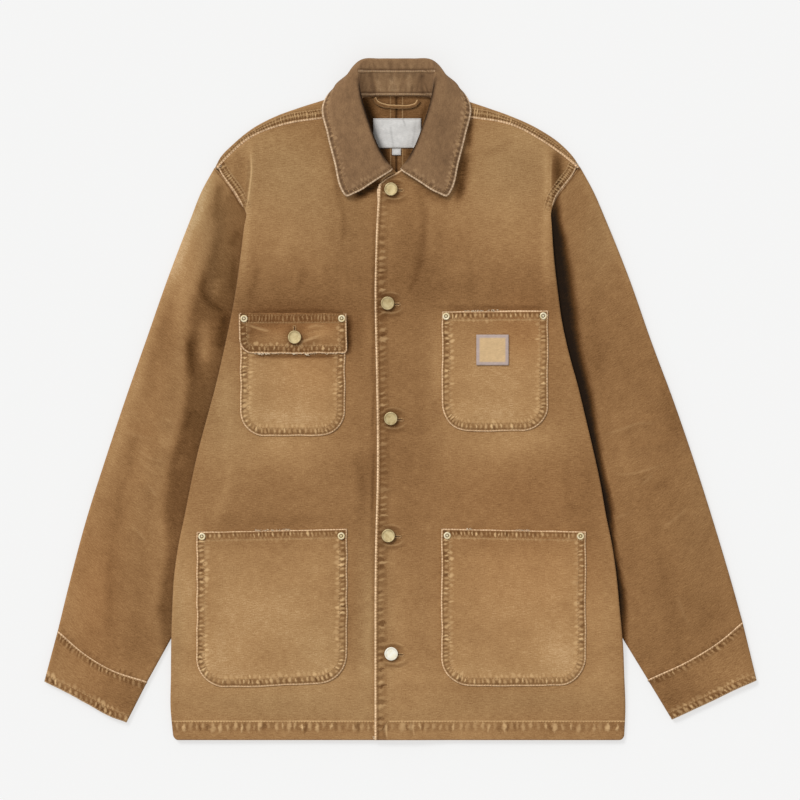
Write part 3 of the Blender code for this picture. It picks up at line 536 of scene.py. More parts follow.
def round_hem(side: Side, grid: Array) -> None:
    """Rounds the corner of a body piece between its side fold and its hem."""
    x, y = grid[..., 0], grid[..., 1]
    away = np.maximum(pair(body_edge(side, y) - side.value * x, y - HEM_Y), 0.0)
    moved = rounded(away, HEM_CORNER) - away
    grid[..., 0] -= side.value * moved[..., 0]
    grid[..., 1] += moved[..., 1]


def front_top(side: Side, x: Array, y: Array) -> Array:
    """Height of one front's upper face; the left one is lifted where it laps the right one."""
    if side is Side.RIGHT:
        return body_top(x, y)
    return body_top(x, y) + OVERLAP_LIFT * (1.0 - ease((x - UNDERLAP_EDGE_X) / OVERLAP_FALL))


def inset(side: Side, x: Array, y: Array) -> Array:
    """Distance in from a front's outer edge: its side fold below, the armhole seam above."""
    away, _ = armhole_share(side, x, y)
    share = ease((y - 206.0) / 24.0)
    return (body_edge(side, y) - np.abs(x)) * (1.0 - share) - away * share


def rumple(x: Array, y: Array) -> Array:
    """Low unevenness of cloth that was worn and laid flat: two smooth random fields."""
    return 0.26 * Drift(11, 58.0)(x, y) + 0.13 * Drift(12, 21.0)(x, y)


def front_surface(side: Side, x: Array, y: Array) -> Array:
    """Upper face of a front with its soft creases."""
    inside = inset(side, x, y)
    creases = strokes(BODY_CREASES, x, y) * ease((inside - 1.0) / 9.0)
    return front_top(side, x, y) + creases + rumple(x, y) * ease((inside - 10.0) / 30.0)


def sleeve_surface(side: Side, x: Array, y: Array) -> Array:
    """Upper face of a sleeve with its soft creases, which fade out where the body lies on it."""
    shown = ease((side.value * x - body_edge(side, y) - 2.0) / 16.0)
    away, _ = armhole_share(side, x, y)
    creases = strokes(SLEEVE_CREASES[side], x, y) + 1.3 * rumple(x, y)
    return sleeve_top(side, x, y) + creases * shown * ease((away - 3.0) / 20.0)


def shoulder_frame(side: Side, shares: Array) -> tuple[Array, Array, Array]:
    """Shoulder outline from its point to the neck, directions outwards, and the seam on top."""
    outline = points_along(places(SHOULDER, side), shares)
    tangent = unit(np.gradient(outline, axis=0))
    normal = side.value * np.stack([tangent[:, 1], -tangent[:, 0]], axis=1)
    armhole = places(ARMHOLE, side)
    along_armhole = unit(armhole[-1] - armhole[0])
    share = (1.0 - ease(shares * 3.0))[:, None]
    out = unit(normal * (1.0 - share) + along_armhole * share)
    return outline, out, points_along(places(SHOULDER_SEAM, side), shares)


# ---------------- seams


@dataclass(frozen=True)
class Seam:
    """A sewn edge, with the piece on the left of its line: its rows of stitches, puckers and wear."""

    line: Array
    rows: tuple[float, ...] = (1.4, 9.0)
    band: float = 10.5  # width of the doubled cloth
    pucker: tuple[float, float] = (1.0, 11.0)  # where the puckers start and end
    spacing: float = 8.0
    slant: float = 0.0  # how far a pucker leans along the seam, for each millimetre inwards
    relief: float = 0.4
    edge: float = 1.0  # how far the edge itself is rubbed pale; none for 0
    bare: float = 0.8  # how pale the rubbed edge is
    darker: float = 0.13
    bars: float = 1.0  # strength of the pale bars that the finish draws over the puckers
    slim: float = 0.6  # width of a bar, for a spacing of 2
    halo: float = 0.5  # strength of the soft pale spots inside the band
    welt: float = 0.5  # strength of the pale line inside a row of stitches
    # the dark hollows are unfaded dye with painted shade
    shade: float = 0.5  # strength of the dark hollows between the bars
    holes: float = 0.7  # strength of the needle holes
    fades: tuple[float, float] = (0.0, 0.0)  # lengths over which the band fades in and out at its ends
    seed: int = 1
    pitch: float = 3.4
    squeeze: Array | None = None

    def pleats(self) -> tuple[Array, Array, Array]:
        """Middles of the unevenly spaced puckers along the seam, their strengths and widths."""
        rng = np.random.default_rng(self.seed)
        count = int((lengths(self.line)[-1] + 20.0) / self.spacing / 0.7) + 4
        middles = np.cumsum(rng.uniform(0.68, 1.32, count)) * self.spacing - 10.0 - self.spacing
        return middles, rng.uniform(0.3, 1.0, count), self.spacing * rng.uniform(0.2, 0.3, count)

    def ridges(self, along: Array) -> Array:
        """Bells at the puckers' middles, from 0 to 1."""
        middles, strength, width = self.pleats()
        s = np.arange(-10.0, lengths(self.line)[-1] + 10.0, 0.25)
        bells = np.exp(-(((s[:, None] - middles[None]) / width[None]) ** 2)) * strength[None]
        return np.interp(along, s, np.clip(bells.sum(axis=1), 0.0, 1.0))

    def phase(self, along: Array) -> Array:
        """A number that is whole at every pucker's middle, for the finish to draw them by."""
        middles, _, _ = self.pleats()
        return np.interp(along, middles, np.arange(len(middles)) + 100.0 * self.seed)

    def narrowed(self, along: Array) -> Array:
        """Share of the seam's full width at a length along it."""
        if self.squeeze is None:
            return np.ones(np.shape(along))
        at = np.linspace(0.0, lengths(self.line)[-1], len(self.squeeze))
        return np.interp(along, at, self.squeeze)

    def over_band(self, away: Array) -> Array:
        """Share of a pucker at a distance from the edge."""
        start, end = self.pucker
        return ease((away - start + 0.8) / 1.6) * ease((end + 2.0 - away) / 3.6)

    def ends(self, along: Array) -> Array | float:
        """Share of the seam that is left near its two ends."""
        start, end = self.fades
        left = lengths(self.line)[-1] - along
        return (ease(along / start) if start else 1.0) * (ease(left / end) if end else 1.0)

    def at(self, row: float) -> Array:
        """The line moved inwards by a distance, at right angles to its own direction."""
        tangent = unit(np.gradient(self.line, axis=0))
        reach = row * self.narrowed(lengths(self.line))
        return self.line + reach[:, None] * np.stack([-tangent[:, 1], tangent[:, 0]], axis=1)


FAR = 60.0  # a distance at which no seam and no crease shows


@dataclass(frozen=True)
class Crease:
    """A sharp soft fold: a pale line along its crest, rubbed cloth with painted highlight, and painted shade
    to the right of the line's run.
    """

    points: tuple[tuple[float, float], ...]
    light: float
    dark: float
    width: float = 1.3


@dataclass
class Wear:
    """What a piece's points carry for its finish, and the relief of its seams.

    Cast is the hue's lean, from -1, russet, to 1, olive. Rim is the distance from the nearest rubbed
    edge, and bare is how pale that edge is. Four vectors go with the plain numbers. The seam vector
    holds the pucker's number, the share of the way across its band, and the strength of its bars. The
    shape vector holds the bars' width, the strength of the spots inside the band, and that of the line
    inside a row. The stitch vector holds the stitch's number, how far the point lies inside its row,
    and how deep its needle holes are. The crease vector holds how many widths off the point lies, and
    the crease's light and shade.
    """

    tone: Array
    cast: Array
    worn: Array
    shade: Array
    rim: Array
    bare: Array
    relief: Array
    seam: Array
    shape: Array
    stitch: Array
    crease: Array
    nearest_band: Array
    nearest_crease: Array

    @classmethod
    def plain(cls, tone: Array, cast: Array) -> "Wear":
        """Cloth with its fade and hue, and no seams."""
        zero, far = np.zeros(tone.shape), np.full(tone.shape, FAR)
        vector = np.stack([zero, far, zero], axis=-1)
        vectors = (vector, 0.0 * vector, vector.copy(), np.stack([far, zero, zero], axis=-1))
        plain = (zero.copy(), zero.copy(), far.copy(), zero + 0.8, zero.copy())
        return cls(tone, cast, *plain, *vectors, far.copy(), far.copy())

    def hand_to(self, mesh: Mesh) -> None:
        """Keeps everything that the finish reads on a mesh of the same points."""
        for name in ("tone", "cast", "worn", "shade", "rim", "bare", "seam", "shape", "stitch", "crease"):
            add_values(mesh, name, getattr(self, name))

    def sew(self, seam: Seam, points: Array) -> None:
        """Adds one seam: darker doubled cloth, pale rubbed puckers, a worn rim and their relief.

        Args:
            seam: the seam.
            points: x and y of the piece's points.
        """
        rim, along, _ = nearest(points, seam.line)
        away = rim / np.maximum(seam.narrowed(along), 0.2)
        sway = 0.5 * Drift(seam.seed + 70, 6.0)(along, away)
        place = along + seam.slant * away + sway
        ridges = seam.ridges(place) * seam.over_band(away)
        inside = ease((seam.band + 1.0 - away) / 2.0)
        uneven = 0.75 + 0.25 * Drift(seam.seed + 40, 26.0)(along)
        ends = seam.ends(along)
        inside, uneven, ridges = inside * ends, uneven * ends, ridges * ends
        self.tone -= seam.darker * inside * uneven
        for row in seam.rows:
            self.relief -= 0.12 * np.exp(-(((away - row) / 0.8) ** 2))
        if seam.edge > 0.0:
            rubbed = rim / seam.edge + 3.0 * (1.0 - ends)
            self.bare = np.where(rubbed < self.rim, seam.bare, self.bare)
            self.rim = np.minimum(self.rim, rubbed)
        self.relief += seam.relief * (ridges - 0.35 * seam.over_band(away)) + 0.2 * inside
        closer = away / seam.band < self.nearest_band
        self.nearest_band = np.where(closer, away / seam.band, self.nearest_band)
        start, end = seam.pucker
        rows = np.array(seam.rows or (90.0,))
        row = rows[np.abs(away[..., None] - rows).argmin(axis=-1)]
        welt = np.where((row > 4.0) & (row < 80.0), seam.welt, 0.0) * uneven
        one = np.ones(away.shape)
        self.shade = np.where(closer, seam.shade * uneven, self.shade)
        for name, parts in (
            ("seam", (seam.phase(place), (away - start) / (end - start), seam.bars * uneven)),
            ("shape", (seam.slim * one, seam.halo * one, welt)),
            ("stitch", (along / seam.pitch, away - row, (seam.holes if seam.rows else 0.0) * uneven)),
        ):
            found = np.where(closer[..., None], np.stack(parts, axis=-1), getattr(self, name))
            setattr(self, name, found)

    def fold(self, crease: Crease, points: Array) -> None:
        """Adds one crease, which fades out towards both of its ends."""
        line = points_along(crease.points, 24)
        away, along, side = nearest(points, line)
        share = along / lengths(line)[-1]
        fades = ease(share / 0.3) * ease((1.0 - share) / 0.35)
        off = away / crease.width
        closer = off < self.nearest_crease
        found = np.stack([off * side, crease.light * fades, crease.dark * fades], axis=-1)
        self.nearest_crease = np.where(closer, off, self.nearest_crease)
        self.crease = np.where(closer[..., None], found, self.crease)
        self.relief += 0.5 * crease.light * fades * np.exp(-((off / 1.6) ** 2))


@dataclass(frozen=True)
class Sewing:
    """How a piece is faded and shaded in paint, sewn and creased, worked out at any point of it."""

    tone: Tone
    seams: tuple[Seam, ...] = ()
    creases: tuple[Crease, ...] = ()
    plan: bool = True  # whether the points are places on the jacket, so that its hue applies

    def wear(self, points: Array) -> Wear:
        """The fade with its painted light and shade, every seam and every crease at x and y."""
        zero = np.zeros(points.shape[:-1])
        made = Wear.plain(self.tone(points) + zero, fade(0.0, CAST if self.plan else ())(points) + zero)
        for seam in self.seams:
            made.sew(seam, points)
        for crease in self.creases:
            made.fold(crease, points)
        return made


class Spot(NamedTuple):
    """A soft lighter or darker place: its middle, half widths and amount."""

    x: float
    y: float
    half_x: float
    half_y: float
    amount: float


class Track(NamedTuple):
    """A soft lighter or darker line through its points, fading out at both ends."""

    points: tuple[tuple[float, float], ...]
    half: float
    amount: float

    def __call__(self, points: Array) -> Array:
        """Its share of the fade at x and y."""
        line = points_along(self.points, 16)
        away, along, _ = nearest(points, line)
        share = along / lengths(line)[-1]
        faded = self.amount * ease(share / 0.25 + 0.2) * ease((1.0 - share) / 0.25 + 0.2)
        return faded * np.exp(-((away / self.half) ** 2))


CAST = many(
    Spot, (-140, 275, 72, 62, 0.85), (135, 285, 76, 58, 0.9), (-64, 212, 56, 60, 0.4),
    (-214, 160, 26, 66, 0.85), (-212, -10, 40, 60, 0.65), (-128, 92, 68, 16, -1.1), (-104, 40, 40, 40, -0.6),
    (142, 84, 40, 46, -0.8), (140, -110, 110, 46, -0.4), (150, -205, 100, 66, -0.65),
    (-32, -250, 20, 110, 0.8), (-90, -300, 60, 50, 0.45), (-150, -356, 110, 18, 0.7),
    (150, -356, 110, 18, 0.55), (-70, -374, 160, 10, 0.4), (-362, -230, 36, 100, -0.7),
    (-268, -270, 18, 60, 0.6), (-240, 235, 26, 40, 1.2), (232, 190, 26, 70, 0.7), (360, -130, 30, 80, 0.35),
)


def fade(
    base: float, spots: Sequence[Spot] = (), marks: Sequence[Stroke] = (), tracks: Sequence[Track] = (),
) -> Tone:
    """The cloth's fade, with any painted light and shade that its tables hold: a base, bells round the spots'
    middles, and bells across marks and tracks.
    """

    def tone(points: Array) -> Array:
        """The fade at x and y."""
        x, y = points[..., 0], points[..., 1]
        total = base + strokes(marks, x, y)
        for spot in spots:
            away = ((x - spot.x) / spot.half_x) ** 2 + ((y - spot.y) / spot.half_y) ** 2
            total = total + spot.amount * np.exp(-away)
        for track in tracks:
            total = total + track(points)
        return total

    return tone


# ---------------- meshes


def link(mesh: Mesh, finish: Material) -> bpy.types.Object:
    """Puts a finished mesh in the scene with its material."""
    mesh.materials.append(finish)
    made = bpy.data.objects.new(mesh.name, mesh)
    bpy.context.scene.collection.objects.link(made)
    return made


def grid_faces(rows: int, columns: int, closed: bool = False) -> Array:
    """Four-cornered faces of a grid of points; closed joins the last column to the first."""
    index = np.arange(rows * columns).reshape(rows, columns)
    if closed:
        index = np.concatenate([index, index[:, :1]], axis=1)
    corners = index[:-1, :-1], index[:-1, 1:], index[1:, 1:], index[1:, :-1]
    return np.stack([corner.ravel() for corner in corners], axis=1)


def mesh_of(name: str, points: Array, faces: Array) -> Mesh:
    """A smooth-shaded mesh from points in millimetres and faces of equal size."""
    mesh = bpy.data.meshes.new(name)
    size = faces.shape[1]
    mesh.vertices.add(len(points))
    mesh.vertices.foreach_set("co", (points * MM).astype(np.float32).ravel())
    mesh.loops.add(faces.size)
    mesh.loops.foreach_set("vertex_index", faces.astype(np.int32).ravel())
    mesh.polygons.add(len(faces))
    mesh.polygons.foreach_set("loop_start", (np.arange(len(faces)) * size).astype(np.int32))
    mesh.update(calc_edges=True)
    mesh.polygons.foreach_set("use_smooth", np.ones(len(faces), bool))
    mesh.validate()
    return mesh


def add_values(mesh: Mesh, name: str, values: Array) -> None:
    """Keeps one number, or a vector, for each point of a mesh."""
    flat = values.reshape(len(mesh.vertices), -1).astype(np.float32)
    kind = "FLOAT" if flat.shape[1] == 1 else "FLOAT_VECTOR"
    layer = mesh.attributes.new(name, kind, "POINT")
    layer.data.foreach_set("value" if kind == "FLOAT" else "vector", flat.ravel())


SMALLEST_CUT = 10.5


class ClothPiece:
    """A thin piece of cloth: a grid of points for its outer face, with its wall behind them."""

    def __init__(
        self, node: str, grid: Array, wall: float, finish: Material, wear: Wear | None = None,
        weave: Array | None = None, probe: tuple[int, int] | None = None, faces_down: bool = False,
        closed: bool = False,
    ) -> None:
        """Builds the mesh.

        Args:
            node: the solid that it stands for.
            grid: rows of columns of points in millimetres.
            wall: thickness of the cloth.
            finish: its material.
            wear: what the finish reads.
            weave: place on the cloth in millimetres along and across its weft; x and y if left out.
            probe: a cell whose outer face must look up.
            faces_down: the outer face at the probe looks down instead.
            closed: the last column joins the first.
        """
        rows, columns = grid.shape[:2]
        i, j = probe or (rows // 2, columns // 2)
        normal = np.cross(grid[i, j + 1] - grid[i, j], grid[i + 1, j] - grid[i, j])
        faces = grid_faces(rows, columns, closed)
        if (normal[2] < 0.0) != faces_down:
            faces = faces[:, ::-1]
        self.node, self.grid = node, grid
        self.mesh = mesh_of(f"{node}_cloth", grid.reshape(-1, 3), faces)
        wear = wear or Sewing(fade(0.5)).wear(grid[..., :2])
        weave = grid[..., :2] if weave is None else weave
        wear.hand_to(self.mesh)
        add_values(self.mesh, "weave", with_height(weave, np.zeros(weave.shape[:-1])))
        self.object = link(self.mesh, finish)
        solid = self.object.modifiers.new("Wall", "SOLIDIFY")
        solid.thickness = wall * MM
        solid.offset = -1.0
        solid.use_even_offset = False

    def cut(self) -> tuple[float, float, float]:
        """Longest row, longest column and area of the flat cloth, in metres and square metres."""
        along = np.linalg.norm(np.diff(self.grid, axis=1), axis=-1).sum(axis=1).max()
        across = np.linalg.norm(np.diff(self.grid, axis=0), axis=-1).sum(axis=0).max()
        a = self.grid[1:, 1:] - self.grid[:-1, :-1]
        b = self.grid[1:, :-1] - self.grid[:-1, 1:]
        area = np.linalg.norm(np.cross(a, b), axis=-1).sum() / 2.0
        return float(along) * MM, float(across) * MM, float(area) * MM * MM

    def hand_over(self, *rests_on: str, slot: str = "duck_canvas", held: str = "laid") -> None:
        """Hangs the piece under the root, hides the node that it stands for, and logs how large it was cut.
        """
        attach(self.object, "root")
        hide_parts(self.node)
        width, length, area = self.cut()
        width, length = max(width, SMALLEST_CUT * MM), max(length, SMALLEST_CUT * MM)
        width = max(width, 1.02 * area / length)
        count = len(self.mesh.vertices)
        LOG.info("%s: cut %.0f x %.0f mm, %d points", self.object.name, width / MM, length / MM, count)


@dataclass
class Thread:
    """Stitches gathered from every seam of a piece, made into one mesh of small spindles."""

    name: str
    finish: Material
    radius: float = 0.42
    fill: float = 0.74  # share of the pitch that the thread shows
    lift: float = 0.12  # how far the thread's axis lies over its line
    stitches: list[Array] = field(default_factory=list)

    def along(self, line: Array, pitch: float) -> None:
        """Stitches of one length laid end to end along a line of points, one for each pitch."""
        at = lengths(line)
        starts = np.arange(pitch * 0.5, at[-1] - pitch, pitch)
        up = np.array([0.0, 0.0, self.lift])
        first, last = (
            np.stack([np.interp(s, at, column) for column in line.T], axis=1) + up
            for s in (starts, starts + pitch * self.fill)
        )
        self.between(first, last)

    def sew(self, sewing: Sewing, height: Height) -> None:
        """Every row of every seam of a piece, on its face.

        Args:
            sewing: the piece's seams.
            height: the face's height at x and y, without the seams' own relief.
        """
        for seam in sewing.seams:
            for row in seam.rows:
                flat = points_along(seam.at(row), int(lengths(seam.line)[-1] / 1.2))
                face = height(flat[:, 0], flat[:, 1]) + sewing.wear(flat).relief
                self.along(with_height(flat, face), seam.pitch)

    def between(self, start: Array, end: Array) -> None:
        """Stitches from given points to given points."""
        self.stitches.append(np.stack([start, end], axis=1))

    def build(self, slot: str) -> bpy.types.Object:
        """One mesh: each stitch is three rings of four points, thin at both ends and thick between."""
        ends = np.concatenate(self.stitches)
        run = unit(ends[:, 1] - ends[:, 0] + 1e-9)
        side = unit(np.cross(run, np.array([0.0, 0.0, 1.0])) + 1e-9)
        up = np.cross(side, run)
        share = np.array([0.0, 0.5, 1.0])[None, :, None, None]
        thick = np.array([0.45, 1.0, 0.45])[None, :, None, None] * self.radius
        sink = np.array([-0.25, 0.12, -0.25])[None, :, None, None]
        turn = np.radians([45.0, 135.0, 225.0, 315.0])[None, None, :, None]
        middle = ends[:, None, None, 0] * (1 - share) + ends[:, None, None, 1] * share
        ring = np.cos(turn) * side[:, None, None] + np.sin(turn) * up[:, None, None]
        points = (middle + ring * thick + sink * up[:, None, None]).reshape(-1, 3)
        faces = np.concatenate([grid_faces(3, 4, closed=True)[:, ::-1], [[0, 1, 2, 3], [11, 10, 9, 8]]])
        count = len(ends)
        every = (faces[None] + 12 * np.arange(count)[:, None, None]).reshape(-1, 4)
        mesh = mesh_of(self.name, points, every)
        made = link(mesh, self.finish)
        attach(made, "root")
        LOG.info("%s: %d stitches", self.name, count)
        return made


# ---------------- finishes


def linear(colour: str) -> tuple[float, float, float, float]:
    """An sRGB hex value as linear red, green, blue and full alpha."""
    parts = np.array([int(colour[k : k + 2], 16) for k in (1, 3, 5)]) / 255.0
    flat = np.where(parts <= 0.04045, parts / 12.92, ((parts + 0.055) / 1.055) ** 2.4)
    return (*(float(value) for value in flat), 1.0)


def feed(target: bpy.types.Node, inputs: dict) -> None:
    """Gives a node's inputs, by name or number, their values or links from other nodes' sockets."""
    for name, value in inputs.items():
        if isinstance(value, Socket):
            target.id_data.links.new(value, target.inputs[name])
        else:
            target.inputs[name].default_value = value


def node(
    tree: bpy.types.NodeTree, kind: str, inputs: dict | None = None, **settings: object
) -> bpy.types.Node:
    """Adds a shader node.

    Args:
        tree: where it goes.
        kind: Blender's name of the node, without the word that all of them start with.
        inputs: what its inputs are fed.
        settings: its other properties.

    Returns:
        The node.
    """
    made = tree.nodes.new(f"ShaderNode{kind}")
    for name, value in settings.items():
        setattr(made, name, value)
    feed(made, inputs or {})
    return made


def blank(name: str) -> tuple[Material, Callable[..., bpy.types.Node], bpy.types.Node]:
    """A material with nothing but its shader: the material, what adds nodes to it, and the shader."""
    made = bpy.data.materials.new(name)
    made.use_nodes = True
    return made, partial(node, made.node_tree), made.node_tree.nodes["Principled BSDF"]


@dataclass(frozen=True)
class CanvasFinish:
    """Washed duck canvas: plain-woven cotton whose dye has rubbed off the ridges of every seam.

    The weft's slubs show as short level streaks. Single threads lie 0.5 mm apart, too fine to show,
    so the grain is drawn at twice that.
    """

    name: str = "washed_duck_canvas"
    shades: tuple[str, ...] = ("#1f140a", "#38240f", "#543618", "#74512f", "#946d45", "#af885b", "#cfac80")
    rubbed: str = "#dab583"
    between: str = "#704a28"
    bare_edge: str = "#f8d4aa"
    groove: str = "#5c3a1b"
    slub_length: float = 7.0
    slub_width: float = 0.9
    grain: float = 1.1
    mottle: float = 15.0
    blotch: float = 60.0
    olive: tuple[float, float, float] = (1.0, 1.075, 1.13)
    russet: tuple[float, float, float] = (1.0, 0.925, 0.87)
    streak: float = 0.49
    speckle: float = 0.54
    clouds: float = 0.2
    bar_share: float = 0.95
    between_share: float = 0.22
    roughness: float = 0.93

    def build(self) -> Material:
        """The material: fade with painted light and shade, plus streaks and mottling through a ramp of
        browns, then wear and bump.
        """
        made, add, shader = blank(self.name)

        def read(name: str, output: str = "Fac") -> Socket:
            """A value that the piece's points carry."""
            return add("Attribute", attribute_name=name).outputs[output]

        def noise(size_x: float, size_y: float, detail: float) -> Socket:
            """Cloud noise stretched to a size in millimetres along the weft and the warp."""
            scale = (1.0 / size_x, 1.0 / size_y, 1.0)
            placed = add("Mapping", {"Vector": weave, "Scale": scale})
            settings = {"Vector": placed.outputs[0], "Scale": 1.0, "Detail": detail, "Roughness": 0.6}
            return add("TexNoise", settings).outputs[0]

        def sum_of(kind: str, a: object, b: object = 0.0, c: object = 0.0) -> Socket:
            """One sum on one, two or three numbers."""
            return add("Math", {0: a, 1: b, 2: c}, operation=kind).outputs[0]

        def rise(value: Socket, low: object, high: object) -> Socket:
            """A smooth step of a number from 0 at low to 1 at high."""
            inputs = {"Value": value, "From Min": low, "From Max": high}
            return add("MapRange", inputs, interpolation_type="SMOOTHSTEP").outputs[0]

        def product(*values: object) -> Socket:
            """All the numbers multiplied."""
            total = values[0]
            for value in values[1:]:
                total = sum_of("MULTIPLY", total, value)
            return total

        def rest(value: Socket) -> Socket:
            """One less the number."""
            return sum_of("SUBTRACT", 1.0, value)

        def mixed(share: object, a: object, b: object) -> Socket:
            """One colour mixed into another."""
            return add("Mix", {0: share, 6: a, 7: b}, data_type="RGBA").outputs[2]

        def over(below: Socket, shade: str, *shares: object) -> Socket:
            """A shade laid over the colour below it, by the product of its shares."""
            return mixed(product(*shares), below, linear(shade))

        weave = read("weave", "Vector")
        tone, worn, rim = read("tone"), read("worn"), read("rim")
        slub = noise(self.slub_length, self.slub_width, 1.5)
        grain = noise(self.grain * 1.5, self.grain, 2.0)
        mottle = noise(self.mottle, self.mottle * 0.7, 3.0)
        value = tone
        for field_of, share in (
            (slub, self.streak), (grain, self.speckle), (mottle, self.clouds),
            (noise(self.blotch, self.blotch, 2.0), self.clouds),
        ):
            value = sum_of("MULTIPLY_ADD", field_of, share, sum_of("SUBTRACT", value, 0.5 * share))
        # the ramp runs from a tone of -0.5, painted shade deep in a fold, to 1, faded almost white
        placed = sum_of("MULTIPLY_ADD", value, 2.0 / 3.0, 1.0 / 3.0)
        ramp = add("ValToRGB", {"Fac": placed})
        stops = ramp.color_ramp.elements
        while len(stops) < len(self.shades):
            stops.new(0.5)
        for k, shade in enumerate(self.shades):
            stops[k].position = k / (len(self.shades) - 1)
            stops[k].color = linear(shade)

        lean = mixed(sum_of("MULTIPLY_ADD", read("cast"), 0.5, 0.5), (*self.russet, 1.0), (*self.olive, 1.0))
        inputs = {0: 1.0, 6: ramp.outputs[0], 7: lean}
        ground = add("Mix", inputs, data_type="RGBA", blend_type="MULTIPLY").outputs[2]

        # puckers: a pale oval at every whole number along the seam, each of its own length and strength,
        # with a dark one between two of them and a soft pale one inside that
        seam, shape, stitch, crease = (
            add("SeparateXYZ", {0: read(name, "Vector")}).outputs
            for name in ("seam", "shape", "stitch", "crease")
        )
        frayed = sum_of("MULTIPLY_ADD", grain, 1.3, -0.65)
        sway = sum_of("MULTIPLY_ADD", noise(8.0, 8.0, 2.0), 0.9, -0.45)

        def oval(shift: float, width: object, middle: float, reach: float) -> Socket:
            """Ragged ovals round a middle across the band, each of its own size and strength."""
            place = sum_of("ADD", sum_of("ADD", seam[0], shift), sway)
            number = sum_of("FLOOR", sum_of("ADD", place, 0.5))
            dice = add("TexWhiteNoise", {"W": sum_of("ADD", number, shift)}, noise_dimensions="1D")
            luck = add("SeparateColor", {0: dice.outputs[1]}).outputs
            off = sum_of("DIVIDE", sum_of("MULTIPLY", sum_of("SUBTRACT", place, number), 2.0), width)
            up = sum_of("SUBTRACT", seam[1], sum_of("MULTIPLY_ADD", luck[1], 0.36, middle - 0.18))
            far = frayed
            for part in (off, sum_of("DIVIDE", up, reach)):
                far = sum_of("ADD", far, sum_of("POWER", sum_of("ABSOLUTE", part), 1.5))
            far = sum_of("MULTIPLY", far, sum_of("MULTIPLY_ADD", luck[2], 1.0, 0.65))
            return product(
                rest(rise(far, 0.1, 1.1)), sum_of("MULTIPLY_ADD", product(luck[0], luck[0]), 1.05, 0.35),
            )

        bar = product(oval(0.0, shape[0], 0.46, 0.62), seam[2])
        halo = product(oval(0.5, 0.85, 1.2, 0.52), seam[2], shape[1])
        # hollow: the dark oval between two bars, unfaded dye with painted shade
        hollow = oval(0.5, sum_of("SUBTRACT", 1.3, shape[0]), 0.44, 0.66)
        in_band = product(rise(seam[1], -0.14, 0.02), rest(rise(seam[1], 0.82, 1.1)), seam[2])
        patchy = rise(sum_of("MULTIPLY_ADD", slub, 0.5, product(mottle, 0.5)), 0.34, 0.62)
        uneven = sum_of("MULTIPLY_ADD", patchy, 0.4, 0.7)
        colour = over(ground, self.between, in_band, self.between_share, uneven)
        colour = over(colour, self.groove, hollow, read("shade"), uneven)
        colour = over(colour, self.rubbed, halo, self.bar_share)
        colour = over(colour, self.rubbed, bar, self.bar_share, uneven)
        # worn: rubbed pale; on the hanger loop it also carries painted highlight
        colour = over(colour, self.rubbed, worn, uneven)

        # rows of stitches: a pale line inside each inner row, and a dark needle hole between two stitches
        beside = sum_of("ABSOLUTE", sum_of("SUBTRACT", stitch[1], 0.8))
        colour = over(colour, self.rubbed, rest(rise(beside, 0.2, 1.1)), shape[2], uneven)
        ends = sum_of(
            "MULTIPLY", sum_of("ABSOLUTE", sum_of("SUBTRACT", sum_of("FRACT", stitch[0]), 0.5)), 2.0,
        )
        row = rest(rise(sum_of("ABSOLUTE", stitch[1]), 0.3, 1.0))
        hole = rise(ends, 0.55, 0.95)
        colour = over(colour, self.groove, row, hole, stitch[2])

        # creases: pale along the crest, rubbed cloth with painted highlight, and painted shade on the right
        # of it
        crest = product(rest(rise(sum_of("ABSOLUTE", crease[0]), 0.1, 1.2)), crease[1])
        shade = product(rest(rise(sum_of("ABSOLUTE", sum_of("ADD", crease[0], 2.4)), 0.2, 2.4)), crease[2])
        colour = over(colour, self.groove, shade)
        colour = over(colour, self.rubbed, crest, uneven)

        # the edge: pale where it has rubbed through, with a dark groove inside it
        inside = rest(sum_of("ABSOLUTE", sum_of("SUBTRACT", rim, 1.9)))
        colour = over(colour, self.groove, rise(inside, 0.0, 0.9), 0.4)
        gaps = rise(noise(5.0, 5.0, 2.0), 0.36, 0.58)
        bare = product(
            rest(rise(rim, 0.5, 1.35)), sum_of("MULTIPLY_ADD", gaps, 0.42, 0.58), rest(product(hole, 0.5)),
        )
        colour = over(colour, self.bare_edge, bare, read("bare"))

        height = sum_of("MULTIPLY_ADD", grain, 0.6, slub)
        bump = add("Bump", {"Height": height, "Strength": 0.3, "Distance": 0.4 * MM}).outputs[0]
        bump = add("Bump", {"Height": bar, "Strength": 0.8, "Distance": 0.6 * MM, "Normal": bump}).outputs[0]
        feed(shader, {"Base Color": colour, "Normal": bump, "Roughness": self.roughness})
        feed(shader, {"Specular IOR Level": 0.1, "Sheen Weight": 0.03, "Sheen Roughness": 0.6})
        return made


@dataclass(frozen=True)
class ThreadFinish:
    """Spun cotton sewing thread, faded with the cloth: matt, with a little shade between stitches."""

    name: str
    colour: str
    other: str
    roughness: float = 0.88

    def build(self) -> Material:
        """The material: two shades of one colour in clouds of 9 mm."""
        made, add, shader = blank(self.name)
        place = add("TexCoord").outputs["Object"]
        cloud = add("TexNoise", {"Vector": place, "Scale": 1.0 / (9.0 * MM), "Detail": 2.0})
        inputs = {0: cloud.outputs[0], 6: linear(self.colour), 7: linear(self.other)}
        mix = add("Mix", inputs, data_type="RGBA")
        feed(shader, {"Base Color": mix.outputs[2], "Roughness": self.roughness})
        return made


